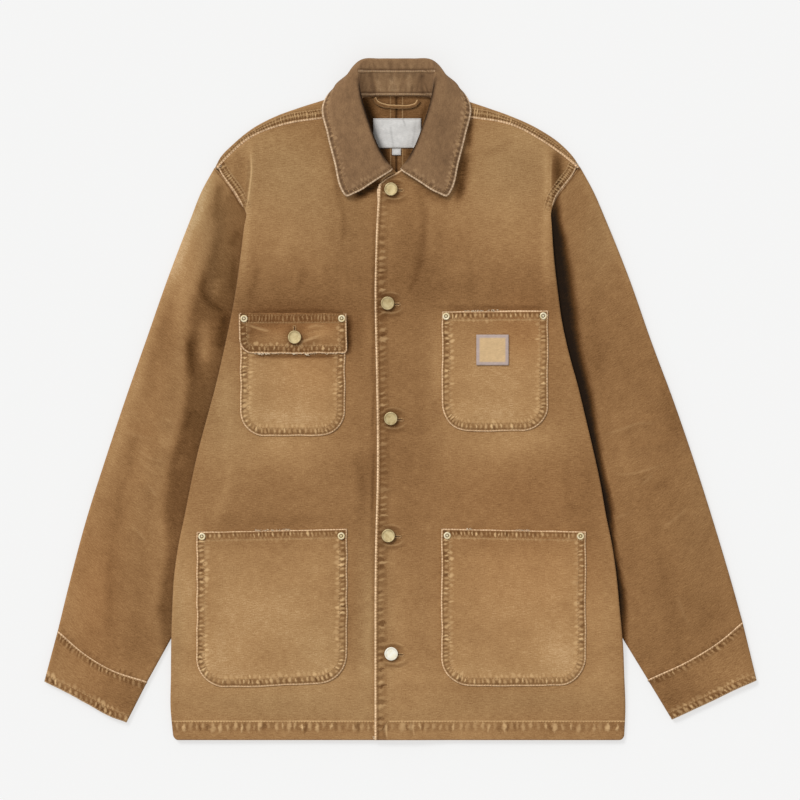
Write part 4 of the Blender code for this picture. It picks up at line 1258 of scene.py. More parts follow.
@dataclass(frozen=True)
class BrassFinish:
    """Stamped brass, pale and dulled by washing: an even metal with a faint spun grain."""

    name: str = "washed_brass"
    colour: str = "#d8c596"
    dull: str = "#bda87a"
    dark: str = "#5e4a30"
    roughness: float = 0.5
    metallic: float = 0.8

    def build(self) -> Material:
        """The material: a clean and a dull tone in clouds of 6 mm, rougher where it is dull."""
        made, add, shader = blank(self.name)
        place = add("TexCoord").outputs["Object"]
        cloud = add("TexNoise", {"Vector": place, "Scale": 1.0 / (6.0 * MM), "Detail": 3.0})
        inputs = {"Value": cloud.outputs[0], "From Min": 0.38, "From Max": 0.66}
        share = add("MapRange", inputs).outputs[0]
        mix = add("Mix", {0: share, 6: linear(self.colour), 7: linear(self.dull)}, data_type="RGBA")
        # darker by the share of darkening that the shape gives at each radius
        stamped = add("Attribute", attribute_name="shade").outputs["Fac"]
        inputs = {0: stamped, 6: mix.outputs[2], 7: linear(self.dark)}
        mix = add("Mix", inputs, data_type="RGBA")
        rough = add("MapRange", {"Value": share, "To Min": self.roughness, "To Max": self.roughness + 0.2})
        feed(shader, {"Base Color": mix.outputs[2], "Roughness": rough.outputs[0], "Metallic": self.metallic})
        return made


@dataclass(frozen=True)
class LabelFinish:
    """Woven satin label cloth, washed and crinkled, with a stitched or darker border."""

    name: str
    ground: str
    border: str
    thread: float = 1.1
    roughness: float = 0.78

    def build(self) -> Material:
        """The material: fine cross threads and clouds on the ground, mixed to the border near the rim."""
        made, add, shader = blank(self.name)
        weave = add("Attribute", attribute_name="weave").outputs["Vector"]
        rim, tone = (add("Attribute", attribute_name=name).outputs["Fac"] for name in ("rim", "tone"))
        placed = add("Mapping", {"Vector": weave, "Scale": (0.3, 1.0 / self.thread, 1.0)})
        threads = add("TexNoise", {"Vector": placed.outputs[0], "Scale": 1.0, "Detail": 2.0})
        clouds = add("TexNoise", {"Vector": weave, "Scale": 0.16, "Detail": 3.0})
        both = add("Math", {0: threads.outputs[0], 1: clouds.outputs[0]}, operation="MULTIPLY")
        inputs = {"Value": both.outputs[0], "From Min": 0.12, "From Max": 0.4, "To Min": 0.9, "To Max": 1.08}
        cloudy = add("MapRange", inputs)
        # the piece's tone darkens the label: painted shadow and shade from its marks
        shade = add("Math", {0: cloudy.outputs[0], 1: tone}, operation="MULTIPLY")
        inputs = {"Value": rim, "From Min": 1.3, "From Max": 2.1, "To Min": 1.0, "To Max": 0.0}
        near = add("MapRange", inputs)
        inputs = {0: near.outputs[0], 6: linear(self.ground), 7: linear(self.border)}
        mix = add("Mix", inputs, data_type="RGBA")
        hue = add("HueSaturation", {"Value": shade.outputs[0], "Color": mix.outputs[2]})
        bump = add("Bump", {"Height": both.outputs[0], "Strength": 0.6, "Distance": 0.6 * MM})
        feed(shader, {"Base Color": hue.outputs[0], "Normal": bump.outputs[0], "Roughness": self.roughness})
        return made


@dataclass(frozen=True)
class Cloths:
    """Every finish of the jacket, built once."""

    canvas: Material
    collar: Material
    thread: Material
    fray: Material
    dark_thread: Material
    brass: Material
    bright_brass: Material
    polished_brass: Material
    label: Material
    patch: Material

    @classmethod
    def build(cls) -> "Cloths":
        """Builds them."""
        collar = CanvasFinish(
            name="fine_brown_twill",
            shades=("#1d130b", "#332416", "#4c3826", "#6a5038", "#866749", "#9c7b58", "#b69570"),
            rubbed="#cba67c", between="#684a32", bare_edge="#ecceab", groove="#4a3320", slub_length=3.2,
            slub_width=1.2, mottle=9.0, streak=0.28, speckle=0.44, clouds=0.42, bar_share=0.7,
            between_share=0.2,
        )
        return cls(
            canvas=CanvasFinish().build(), collar=collar.build(),
            thread=ThreadFinish("tan_cotton_thread", "#d3ab78", "#ab8252").build(),
            fray=ThreadFinish("bare_cotton_fray", "#eadbc2", "#d0b48c").build(),
            dark_thread=ThreadFinish("painted_buttonhole_shade", "#5c3d22", "#3f2814").build(),
            brass=BrassFinish().build(),
            bright_brass=BrassFinish("rubbed_brass", "#f5e8c6", "#e4d09e", "#6e5636", metallic=0.4).build(),
            # the lowest button: near-white brass that stands for a painted reflection of the light
            polished_brass=BrassFinish(
                "polished_brass", "#fffdf0", "#f4ebcf", "#8a724c", roughness=0.45, metallic=0.1,
            ).build(),
            label=LabelFinish("grey_satin_label", "#d9d7d3", "#c9c6c1").build(),
            patch=LabelFinish("beige_woven_patch", "#cfae80", "#b3a098").build(),
        )


# ---------------- fronts

BUTTONS = ((-11.3, 248.3), (-15.3, 113.6), (-11.6, -22.5), (-14.5, -160.6), (-11.0, -300.0))
SIDE_ROWS = 17
ARMHOLE_ROWS = 7
SHOULDER_COUNT = 7
TOP_OF_SIDE = 206.0  # where the side fold ends and the armhole starts
TURNED_IN = 5.0  # how far inside an edge its height is read
TONGUE_STEPS = np.linspace(0.4, 2.0, 5)
FRONT_WIDTH = 290.0
# fade of the fronts, with painted shade in some darker spots, such as beside the flap
FRONT_FADE_AND_SHADE = many(
    Spot, (-128, 235, 80, 78, 0.16), (118, 235, 80, 78, 0.13), (-110, 125, 110, 34, -0.13),
    (120, 128, 90, 28, -0.115), (-200, 120, 18, 90, -0.04), (-20, -366, 280, 34, 0.12),
    (-172, 304, 40, 22, 0.08), (140, 310, 60, 22, 0.12), (-58, 205, 28, 44, -0.1), (-100, 226, 42, 44, -0.07),
    (18, 168, 40, 64, -0.12), (12, -60, 34, 110, -0.07), (-40, -96, 13, 30, -0.15), (-165, -60, 76, 28, 0.17),
    (118, -52, 64, 24, 0.17), (-150, -144, 60, 9, -0.1), (220, -110, 15, 50, -0.14),
    (-254, -240, 28, 100, 0.24), (242, -280, 24, 80, 0.15), (-60, -322, 240, 16, 0.1),
    (-4, -262, 15, 64, 0.13), (30, -250, 26, 90, 0.06), (0, -398, 300, 12, 0.1), (-130, 108, 66, 12, -0.14),
    (-52, 76, 10, 26, -0.14), (-204, 160, 12, 60, 0.08), (-204, -2, 18, 46, 0.16), (62, 4, 16, 60, 0.1),
    (150, -40, 44, 16, 0.08), (-104, -226, 20, 30, 0.06), (-34, -262, 15, 62, 0.18), (44, 40, 12, 44, 0.16),
    (-130, -50, 56, 12, 0.08), (216, -240, 14, 60, 0.08), (60, -262, 12, 34, 0.07),
    (-155, -340, 110, 20, 0.1), (204, -338, 34, 22, 0.08), (-22, 210, 12, 40, 0.06),
)
# painted shadows: beside the side folds, from both collar leaves, beside the flap, over the chest pockets'
# tops and along the placket's edge
FRONT_PAINTED_SHADOWS = many(
    Stroke, (-190, 292, -187, 236, 8, -0.12), (185, 292, 187, 226, 6, -0.55), (83, 330, 80, 296, 3, -0.5),
    (77, 292, 68, 235, 6, -0.62), (-54, 239.5, -23, 256, 4.5, -0.9), (20, 252, 58, 232, 5, -0.2),
    (-61, 98, -61, 54, 3.4, -0.5), (-190, 104, -66, 104, 2.4, -0.16), (46, 108.5, 176, 108.5, 2.6, -0.22),
    (-31.5, 240, -33.5, -390, 1.6, -0.2),
)
FRONT_CREASES = many(
    Crease,
    (
        ((-177.6, 297), (-176.2, 282.6), (-175.8, 270.8), (-177.6, 253.1), (-180, 235.4), (-184.5, 214)),
        0.62, 0.3,
    ),
    (((183, 214), (177.6, 236), (177, 262), (178.4, 296)), 0.2, 0.4, 1.5),
    (((-26.4, 248.4), (-20.3, 260.4), (-13.6, 265.6), (-5.3, 268), (-0.8, 267.3)), 0.8, 0.3),
    (((-16, -380.6), (-16.6, -392), (-15.4, -402)), 0.5, 0.4),
    (((16, -376), (15, -388), (16.6, -400)), 0.3, 0.3),
)
# painted light and shade of soft folds: lighter on their crests and beside the side folds, darker in their
# troughs
FRONT_PAINTED_FOLD_LIGHT = many(
    Track, (((-177.6, 306), (-175.8, 271), (-180, 235), (-182, 188), (-189, 129)), 4.5, 0.14),
    (((170.5, 306), (172.9, 235), (170.5, 188), (174, 117)), 5, 0.14),
    (((-83, 294), (-76, 253), (-67, 212), (-70, 176)), 3, -0.12),
    (((-168, 320), (-130, 328), (-93, 334.5)), 5, -0.14),
    (((-169, 159), (-172, 138), (-180, 117)), 4.5, -0.1), (((-113, 159), (-121, 129)), 5, -0.08),
    (((-130, 206), (-148, 165)), 12, 0.06),
    (((20.7, 247), (27.7, 212), (23, 165), (13.6, 135), (5.3, 123)), 4, -0.11),
    (((37, 235), (35, 165)), 6, 0.07), (((65.5, 206), (82, 165), (84, 117)), 5, -0.07),
    (((94, 288.5), (111.5, 294), (135, 310)), 5, -0.08), (((-163, 297), (-150, 299)), 4, -0.08),
    (((-56, -60), (-44, -112), (-50, -150)), 5, -0.08), (((200, -60), (196, -100), (206, -146)), 6, -0.08),
    (((-200, -70), (-206, -110), (-222, -146)), 6, 0.09),
)


def buttonhole_creases(x: float, y: float) -> tuple[Crease, ...]:
    """The two arcs that a buttonhole's pull draws round its button, each with a pale crest and painted shade
    beside it.
    """
    upper = ((-11.5, 6.5), (-5.0, 11.4), (4.3, 12.8), (12.2, 10.6), (19.5, 5.0))
    lower = ((-12.2, -7.6), (-2.0, -11.0), (7.4, -11.2), (15.3, -8.3), (20.5, -2.6))
    return tuple(
        Crease(tuple((x + dx, y + dy) for dx, dy in arc), light, dark, 1.4)
        for arc, light, dark in ((upper, 0.14, 0.4), (lower, 0.22, 0.32))
    )


class FrontFrame(NamedTuple):
    """What a front and its back panel share: the front's outer edge and the turn under it."""

    edge: Array
    inner: Array
    out: Array
    start: Array
    reach: Array
    shoulder_seam: Array


def front_frame(side: Side) -> FrontFrame:
    """Outer and inner edges of a front, row by row from the hem to the shoulder point."""
    low_y = np.linspace(HEM_Y, TOP_OF_SIDE, SIDE_ROWS)
    low = pair(side.value * body_edge(side, low_y), low_y)
    outline, _, seam = shoulder_frame(side, np.linspace(0.0, 1.0, SHOULDER_COUNT))
    seam = seam - unit(outline - seam) * SEAM_GAP * 2.8
    high = points_along(np.concatenate([places(ARMHOLE, side)[:-1], seam[:1]]), ARMHOLE_ROWS)
    edge = np.concatenate([low, high])
    inner_y = np.linspace(HEM_Y, TOP_OF_SIDE + 2.0, SIDE_ROWS)
    if side is Side.RIGHT:
        inner_x = np.full(SIDE_ROWS, UNDERLAP_EDGE_X)
        corner = [[UNDERLAP_EDGE_X, 232.0], [UNDERLAP_EDGE_X, 254.0]]
    else:
        inner_x = np.interp(inner_y, *zip(*PLACKET))
        corner = [[-27.0, 232.0], [-25.3, 254.0]]
    neckline = places(NECKLINE, side)
    neckline[-1] = seam[-1]
    neckline = points_along(neckline, ARMHOLE_ROWS - 2)
    inner = np.concatenate([pair(inner_x, inner_y), corner, neckline])
    out = unit(edge - inner)
    out[-1] = unit(seam[0] - seam[1])
    near = edge - out * TURNED_IN
    radius = (front_top(side, *near.T) - under_height(side, *near.T)) / 2.0
    start = edge - out * radius[:, None]
    depth = np.maximum(tuck(edge[:, 1]) - radius, 0.0)
    past = np.stack([0.5 * depth + 1.0, depth + 3.0, depth + 10.0, depth + 18.0, depth + SEAM_TONGUE], axis=1)
    reach = past * ease((222.0 - edge[:, 1]) / 60.0)[:, None] + TONGUE_STEPS[None]
    return FrontFrame(edge, inner, out, start, reach, seam)


class FineRows:
    """Finer rows for edges that were laid out on a few: each column follows a smooth curve."""

    def __init__(self, edge: Array, near_start: float, near_end: float, coarse: float, hold: float) -> None:
        """Spaces the rows by the length of the edge."""
        self.length = lengths(edge)
        self.at = graded(self.length[-1], near_start, near_end, coarse, hold) * self.length[-1]
        self.share = np.interp(self.at, self.length, np.linspace(0.0, 1.0, len(edge)))

    def __call__(self, values: Array) -> Array:
        """The values of the few rows, on the fine ones."""
        flat = values.reshape(len(values), -1)
        fine = np.stack([smooth(self.length, column, self.at) for column in flat.T], axis=1)
        return fine.reshape(len(self.at), *values.shape[1:])


@dataclass
class Fronts:
    """Both fronts: flat over the chest, folded round the side, and on underneath to the side seam."""

    cloths: Cloths
    thread: Thread
    hem_stitch: float = 21.5
    armhole_rows: tuple[float, ...] = (1.8, 5.4, 9.2)
    step: float = 3.5

    def sewing(self, side: Side) -> Sewing:
        """Placket, hem and armhole of one front."""
        frame = front_frame(side)
        hem = points_along(np.stack([frame.edge[0], frame.inner[0]])[:: -side.value], 60)
        armhole = points_along(frame.edge[SIDE_ROWS:][:: side.value], 40)
        seams = [
            Seam(
                hem, (self.hem_stitch,), band=self.hem_stitch, pucker=(11.0, 21.4), spacing=8.8, relief=0.5,
                edge=0.0, darker=0.05, slim=0.66, halo=0.0, welt=0.85, bars=0.85, shade=0.52, holes=1.0,
                seed=21 + side.value,
            ),
            Seam(
                armhole, self.armhole_rows, band=11.0, pucker=(0.9, 10.2), spacing=3.3, relief=0.12, edge=1.5,
                bare=0.9, darker=0.22, slim=0.66, halo=0.0, welt=0.4, bars=0.8, shade=0.8, holes=0.9,
                fades=(0.0, 13.0)[:: -side.value], seed=31 + side.value, pitch=3.3,
            ),
        ]
        creases = FRONT_CREASES
        if side is Side.LEFT:
            line = points_along([(row.x, row.y) for row in PLACKET][::-1], 120)
            neck = points_along(frame.inner[SIDE_ROWS:], 40)
            seams += [
                Seam(
                    line, (2.9,), band=15.0, pucker=(2.2, 13.5), spacing=8.4, slant=0.18, relief=0.8,
                    edge=2.1, bare=1.0, darker=0.1, slim=0.55, halo=0.0, bars=0.5, shade=0.8, holes=0.8,
                    seed=43,
                ),
                Seam(
                    neck, (), band=2.0, pucker=(0.5, 3.0), edge=1.6, bare=0.9, darker=0.0, bars=0.0, seed=44,
                ),
            ]
            creases = sum((buttonhole_creases(*place) for place in BUTTONS), creases)
        # painted shadow round each button
        shaded = tuple(Spot(x + 1.2, y - 1.6, 9.4, 9.4, -0.5) for x, y in BUTTONS)
        return Sewing(fade(0.5, FRONT_FADE_AND_SHADE + shaded, FRONT_PAINTED_SHADOWS, FRONT_PAINTED_FOLD_LIGHT), tuple(seams), creases)

    def build(self, side: Side) -> None:
        """One front, sewn and handed over."""
        frame = front_frame(side)
        rows = FineRows(frame.edge, 1.7, 1.8, self.step, 24.0)
        edge, inner, start = rows(frame.edge), rows(frame.inner), rows(frame.start)
        out, reach = unit(rows(frame.out)), rows(frame.reach)
        near = edge - out * TURNED_IN
        surface, under_surface = partial(front_surface, side), partial(under_height, side)
        top, under = surface(*near.T), under_surface(*near.T)
        near_edge = 1.5 if side is Side.LEFT else self.step
        u = graded(FRONT_WIDTH, near_edge, 2.2, self.step, 36.0)
        seam_edge = np.concatenate([frame.shoulder_seam[:0:-1], frame.start[-1:]])
        bottom = inner[0] + u[:, None] * (start[0] - inner[0])
        flat = coons(bottom, points_along(seam_edge, u), inner, start, u, rows.share)
        sheet = laid(flat, surface)
        sheet[:, -1, 2] = top

        fold = turned_under(edge, out, top, under)
        tongue = laid(start[:, None] - out[:, None] * reach[..., None], under_surface)
        _, down = armhole_share(side, edge[:, 0], edge[:, 1])
        seam_z = ARMHOLE_SEAM_Z - ARMHOLE_SEAM_FALL * down
        share = np.linspace(0.1, 1.0, len(ARC))
        dip_flat = start[:, None] + (edge - start)[:, None] * share[None, :, None]
        dip = with_height(dip_flat, top[:, None] + (seam_z - top)[:, None] * share[None] ** 2)
        lip = with_height(down_rows(edge, len(TONGUE_STEPS)), seam_z[:, None] - TONGUE_STEPS)
        seamed = ease((rows.share * (len(frame.edge) - 1) - (SIDE_ROWS - 1.0)) / 2.0)[:, None, None]
        turned = fold * (1 - seamed) + dip * seamed, tongue * (1 - seamed) + lip * seamed
        grid = np.concatenate([sheet, *turned], axis=1)

        sewing = self.sewing(side)
        wear = sewing.wear(grid[..., :2])
        mask = np.ones(grid.shape[:2])
        mask[:, sheet.shape[1] :] = 0.0
        grid[..., 2] += wear.relief * mask
        round_hem(side, grid)
        weave = grid[..., :2] + np.array([300.0 * side.value, 40.0])
        node = f"front_{side.label}"
        piece = ClothPiece(node, grid, WALL, self.cloths.canvas, wear, weave, probe=(5, 4))
        piece.hand_over(f"back_{side.label}", f"sleeve_{side.label}")
        self.thread.sew(sewing, surface)


# ---------------- backs


@dataclass
class Backs:
    """Both back panels: flat on the surface, and rolled over the shoulder edge to the shoulder seam."""

    cloths: Cloths
    thread: Thread
    step: float = 9.0
    neck_count: int = 16
    shoulder_count: int = 96
    neck_half: float = 44.0
    band_rows: int = 16  # rows of points, from the last, that lie on top of the shoulder

    def sewing(self, side: Side) -> Sewing:
        """The shoulder seam's band, the neck, the hem and the felled centre-back seam."""
        outline, _, seam = shoulder_frame(side, np.linspace(0.0, 1.0, 60))
        away = np.clip((np.linalg.norm(outline - seam, axis=1) - 2.0) / 11.5, 0.3, 1.0)
        hem = [(x, HEM_Y) for x in ((-275.0, -4.0) if side is Side.RIGHT else (-5.0, 270.0))]
        centre = [(CENTRE_X, BACK_NECK_Y), (CENTRE_X, HEM_Y)][:: side.value]
        seams = (
            Seam(
                seam[:: -side.value], (1.6, 5.6, 9.8), band=12.0, pucker=(0.8, 11.4), spacing=3.4,
                relief=0.12, edge=1.6, bare=0.9, darker=0.26, slim=0.66, halo=0.0, welt=0.4, bars=0.85,
                shade=0.65, seed=51 + side.value, squeeze=away[:: -side.value], pitch=3.3,
            ),
            Seam(points_along(hem, 60), (21.5,), band=21.5, pucker=(8.5, 21.6), edge=1.2, halo=0.0, seed=55),
            Seam(
                points_along(centre, 90), (6.2,), band=6.4, bars=0.0, relief=0.1, darker=0.02, edge=0.0,
                welt=0.4, seed=57,
            ),
        )
        # darker inside the neck, deepest at the bottom of its V: cloth less faded than outside, with painted
        # shade; and a lighter band to the side
        spots = many(
            Spot, (CENTRE_X, 334, 62, 36, -0.24), (CENTRE_X, 282, 30, 22, -0.1),
            (side.value * 110, 334, 90, 22, 0.12),
        )
        # painted shadows that the collar's leaves cast on the back, and a dark line where the two back panels
        # meet
        marks = many(
            Stroke, (-47, 362, -12, 268, 6.5, -0.7), (36, 360, 2, 268, 3, -0.3),
            (CENTRE_X, 380, CENTRE_X, -390, 0.8, -0.6),
        )
        return Sewing(fade(0.5, spots, marks), seams)

    def build(self, side: Side) -> None:
        """One back panel, sewn and handed over."""
        frame = front_frame(side)
        low = (frame.start - frame.out * frame.reach[:, -1:])[:SIDE_ROWS]
        low[:, 0] -= side.value * SEAM_GAP
        coarse, coarse_out, _ = shoulder_frame(side, np.linspace(0.0, 1.0, SHOULDER_COUNT))
        armhole = places(ARMHOLE, side)
        armhole[:, 0] -= side.value * SEAM_GAP
        armhole[0, 0] -= side.value * 9.0
        armhole[-1] = coarse[0] - coarse_out[0] * BODY_HEIGHT / 2.0
        coarse_edge = np.concatenate([low, points_along(armhole, 4)])
        rows = FineRows(coarse_edge, 5.0, 4.0, self.step, 20.0)
        edge = rows(coarse_edge)

        centre = pair(np.full(len(edge), CENTRE_X), HEM_Y + rows.share * (BACK_NECK_Y - HEM_Y))
        neck_count = self.neck_count
        neck_share = np.linspace(0.0, 1.0, neck_count)
        neck = pair(CENTRE_X + side.value * self.neck_half * neck_share, np.full(neck_count, BACK_NECK_Y))
        shares = np.linspace(0.0, 1.0, self.shoulder_count)
        outline, out, seam = shoulder_frame(side, shares)
        top_edge = np.concatenate([neck, outline[::-1]])
        out = np.concatenate([np.tile([0.0, 1.0], (neck_count, 1)), out[::-1]])
        turn = np.concatenate([0.3 + 0.1 * neck_share, np.ones(self.shoulder_count)])
        radius = np.concatenate([2.5 + neck_share, np.full(self.shoulder_count, BODY_HEIGHT / 2.0)])
        start = top_edge - out * radius[:, None]
        index = np.concatenate([neck_share * 2.0, 3.0 + shares * (SHOULDER_COUNT - 1)])
        index = index / (SHOULDER_COUNT + 2.0)
        bottom = np.array([CENTRE_X, HEM_Y]) + index[:, None] * (edge[0] - np.array([CENTRE_X, HEM_Y]))
        centre[-1] = start[0]
        flat = coons(bottom, start, centre, edge, index, rows.share)
        sheet = with_height(flat, np.zeros(1))
        angle = ARC[:, None] * turn[None]
        roll_flat = top_edge[None] + out[None] * (radius[None] * (np.sin(angle) - 1.0))[..., None]
        roll = with_height(roll_flat, radius[None] - radius[None] * np.cos(angle))
        sewn = roll[-1].copy()
        sewn[:neck_count, :2] += out[:neck_count] * 0.7
        sewn[neck_count:, :2] = seam[::-1]
        share = np.linspace(0.0, 1.0, 12)[1:, None, None]
        band = roll[-1][None] * (1.0 - share) + sewn[None] * share
        inwards = with_height(-np.concatenate([np.zeros((neck_count, 2)), out[neck_count:]]), np.zeros(1))
        lip = [
            sewn + inwards * reach - np.array([0.0, 0.0, drop]) for reach, drop in ((0.8, 0.9), (4.0, 1.6))
        ]
        grid = np.concatenate([sheet, roll, band, lip], axis=0)

        sewing = self.sewing(side)
        wear = sewing.wear(grid[..., :2])
        mask = np.zeros(grid.shape[:2])
        mask[-self.band_rows :, neck_count:] = 1.0
        grid[..., 2] += wear.relief * mask
        grid[..., 2] += self.unevenness(grid[..., 0], grid[..., 1]) * mask
        round_hem(side, grid)
        piece = ClothPiece(f"back_{side.label}", grid, WALL, self.cloths.canvas, wear, faces_down=True)
        piece.hand_over()
        shown = Sewing(sewing.tone, sewing.seams[:1])
        self.thread.sew(shown, lambda x, y: BODY_HEIGHT + self.unevenness(x, y))

    def unevenness(self, x: Array, y: Array) -> Array:
        """How far the band inside the shoulder seam lies above or below its even height."""
        return rumple(x, y) + 0.5 * Drift(9, 30.0)(x)


# ---------------- sleeves and cuffs

# fade of the sleeves, with painted shade and light beside their folds and beside the body
SLEEVE_FADE_AND_SHADE = {
    Side.RIGHT: many(
        Spot, (-262, 190, 34, 70, 0.07), (-270, 70, 14, 44, -0.09), (-230, 58, 10, 30, 0.16),
        (-248, 58, 6, 18, -0.2), (-302, -250, 22, 60, -0.05), (-385, -240, 26, 60, 0.05),
        (-338, -200, 16, 66, -0.1), (-300, -290, 50, 34, -0.08), (-400, -300, 34, 30, -0.07),
    ),
    Side.LEFT: many(
        Spot, (240, 180, 40, 70, 0.04), (320, -10, 34, 66, -0.06), (330, -250, 70, 76, -0.06),
        (228, 58, 18, 56, -0.12),
    ),
}
# painted light along the sleeves' lit upper outer sides, a little darker towards the cuffs
SLEEVE_PAINTED_LIGHT = {
    Side.RIGHT: many(
        Stroke, (-220, 270, -280, 124, 8, 0.26), (-280, 124, -356, -120, 7, 0.14),
        (-296, -120, -320, -330, 9, -0.05),
    ),
    Side.LEFT: many(Stroke, (212, 268, 276, 128, 6, 0.08), (300, -150, 330, -320, 9, -0.04)),
}
# painted light and shade of the sleeves' soft folds: dark in the troughs, pale on the crests
SLEEVE_PAINTED_FOLD_LIGHT = {
    Side.RIGHT: many(
        Track, (((-212, 258), (-216, 234), (-220, 209)), 6, -0.26), (((-191, 200), (-202, 180)), 6, -0.15),
        (((-195, 172), (-198, 153), (-200, 124)), 4.5, -0.15), (((-217, 144), (-219, 122)), 6, 0.15),
        (((-228, 153), (-234, 129), (-225, 114), (-204, 103)), 4, -0.2),
        (((-229, 96), (-232, 68), (-231, 40)), 6.5, 0.2), (((-248, 76), (-249, 50), (-246, 24)), 4.5, -0.2),
        (((-206, 104), (-210, 80), (-213, 56)), 6, -0.25), (((-270, 117), (-290, 50), (-301, -12)), 8, -0.08),
        (((-254, 176), (-262, 100), (-263, 23)), 7, 0.07),
        (((-304, -24), (-318, -60), (-319, -83), (-331, -107), (-334, -136), (-340, -166)), 5, -0.09),
        (((-340, -166), (-343, -213), (-343, -237), (-346, -284)), 5, -0.09),
        (((-286, -50), (-266, -52)), 8, 0.1), (((-254, -65), (-263, -83)), 4.5, 0.13),
        (((-247, -12), (-252, -34)), 5, -0.1),
    ),
    Side.LEFT: many(
        Track, (((283, -95), (291, -98)), 5, -0.07), (((291, -113), (314, -93)), 4.5, -0.07),
        (((294, -154), (304, -152)), 5, -0.08), (((262, 210), (282, 130), (296, 60)), 9, 0.05),
        (((300, 60), (316, 0), (330, -50)), 6, -0.05), (((252, -10), (262, -60), (270, -100)), 7, 0.06),
    ),
}
SLEEVE_CREST_LINES = {
    Side.RIGHT: many(
        Crease, (((-312, -57), (-296, -69), (-272, -74)), 0.1, 0.08, 2.2),
        (((-307, -74), (-298, -81), (-287, -89)), 0.1, 0.08, 2),
        (((-301, -95), (-294, -106), (-284, -119)), 0.09, 0.09, 2.2),
        (((-319, -147), (-308, -158), (-296, -172)), 0.09, 0.08, 2.4),
        (((-284, -18), (-276, -24), (-266, -30)), 0.09, 0.08, 2.2),
        (((-330, -36), (-308, -44), (-284, -46)), 0.07, 0.07, 2.6),
    ),
    Side.LEFT: many(
        Crease, (((235, -43), (259, -36), (283, -28), (304, -29)), 0.11, 0.08, 2.2),
        (((247, -88), (271, -88), (294, -82), (320, -73)), 0.11, 0.09, 2.2),
        (((283, -102), (292, -94), (301, -88)), 0.09, 0.09, 2.2),
        (((306, -154), (330, -136), (342, -126)), 0.09, 0.08, 2.4),
        (((250, -142), (262, -137), (273, -133)), 0.08, 0.08, 2.2),
        (((324, -225), (330, -242), (337, -260), (347, -274)), 0.05, 0.05, 2.8),
    ),
}


class Valley(NamedTuple):
    """The strip of painted shade on a sleeve beside the body: height up the body, half width and depth of
    shade.
    """

    y: float
    half: float
    amount: float


VALLEYS = {
    Side.RIGHT: many(
        Valley, (-360, 8, 0.1), (-300, 10, 0.18), (-248, 16, 0.34), (-225, 13, 0.28), (-178, 13, 0.28),
        (-130, 25, 0.32), (-83, 30, 0.36), (-36, 27, 0.4), (11, 33, 0.38), (58, 42, 0.34), (106, 49, 0.36),
        (153, 41, 0.3), (188, 34, 0.27), (212, 33, 0.22), (235, 26, 0.26), (262, 9, 0.1),
    ),
    Side.LEFT: many(
        Valley, (-340, 4, 0.1), (-280, 6, 0.5), (-225, 6, 0.9), (-178, 4, 0.9), (-130, 7.4, 1), (-83, 7.2, 1),
        (-36, 8, 1), (11, 12.5, 1), (58, 14.6, 1), (106, 17, 1), (153, 15.8, 1), (188, 12.7, 1),
        (212, 7.6, 1), (226, 8, 0.8), (238, 7.6, 0.45), (252, 5, 0.2), (268, 3, 0),
    ),
}


def valley_shade(side: Side, points: Array) -> Array:
    """Painted shade on a sleeve beside the body: the shadow that the body's raised side fold casts on it."""
    x, y = points[..., 0], points[..., 1]
    at, halves, amounts = zip(*VALLEYS[side])
    half = np.interp(y, at, halves) + 1.5 * Drift(19, 40.0)(y)
    amount = np.interp(y, at, amounts)
    width = 5.0 + 0.75 * half if side is Side.LEFT else 8.0 + 0.2 * half
    return amount * (1.0 - ease((side.value * x - body_edge(side, y) - half) / width + 0.5))


class SleeveFrame(NamedTuple):
    """A sleeve's two folded edges: outermost points, where the fold starts, and heights."""

    out: Array
    outer: Array
    outer_start: Array
    outer_top: Array
    inner: Array
    inner_start: Array
    inner_top: Array


def sleeve_frame(side: Side, shares: Array) -> SleeveFrame:
    """The sleeve's edges, from the armhole to the cuff seam."""
    outer = points_along(places(SLEEVE_OUTER, side), shares)
    end = places(CUFF_SEAM, side)[-1]
    y = np.linspace(218.0, end[1], 40)
    inner_line = pair(side.value * sleeve_inner(side, y), y)
    inner_line[:, 0] -= side.value * 2.0 * ease((y - 204.0) / 14.0)
    inner_line[0] = places(ARMHOLE, side)[0] + np.array([side.value * -1.2, -1.2])
    inner = points_along(inner_line, shares)
    out = unit(outer - inner)
    outer_top = sleeve_surface(side, *(outer - out * TURNED_IN).T)
    inner_top = sleeve_surface(side, *(inner + out * TURNED_IN / 2.0).T)
    outer_start = outer - out * (outer_top / 2.0)[:, None]
    inner_start = inner + out * (inner_top / 2.0)[:, None]
    return SleeveFrame(out, outer, outer_start, outer_top, inner, inner_start, inner_top)


def runs_along(points: Array, shares: Array) -> Array:
    """Points at shares of the length of straight runs between the given ones."""
    at = lengths(points)
    return np.stack([np.interp(shares * at[-1], at, column) for column in points.T], axis=1)


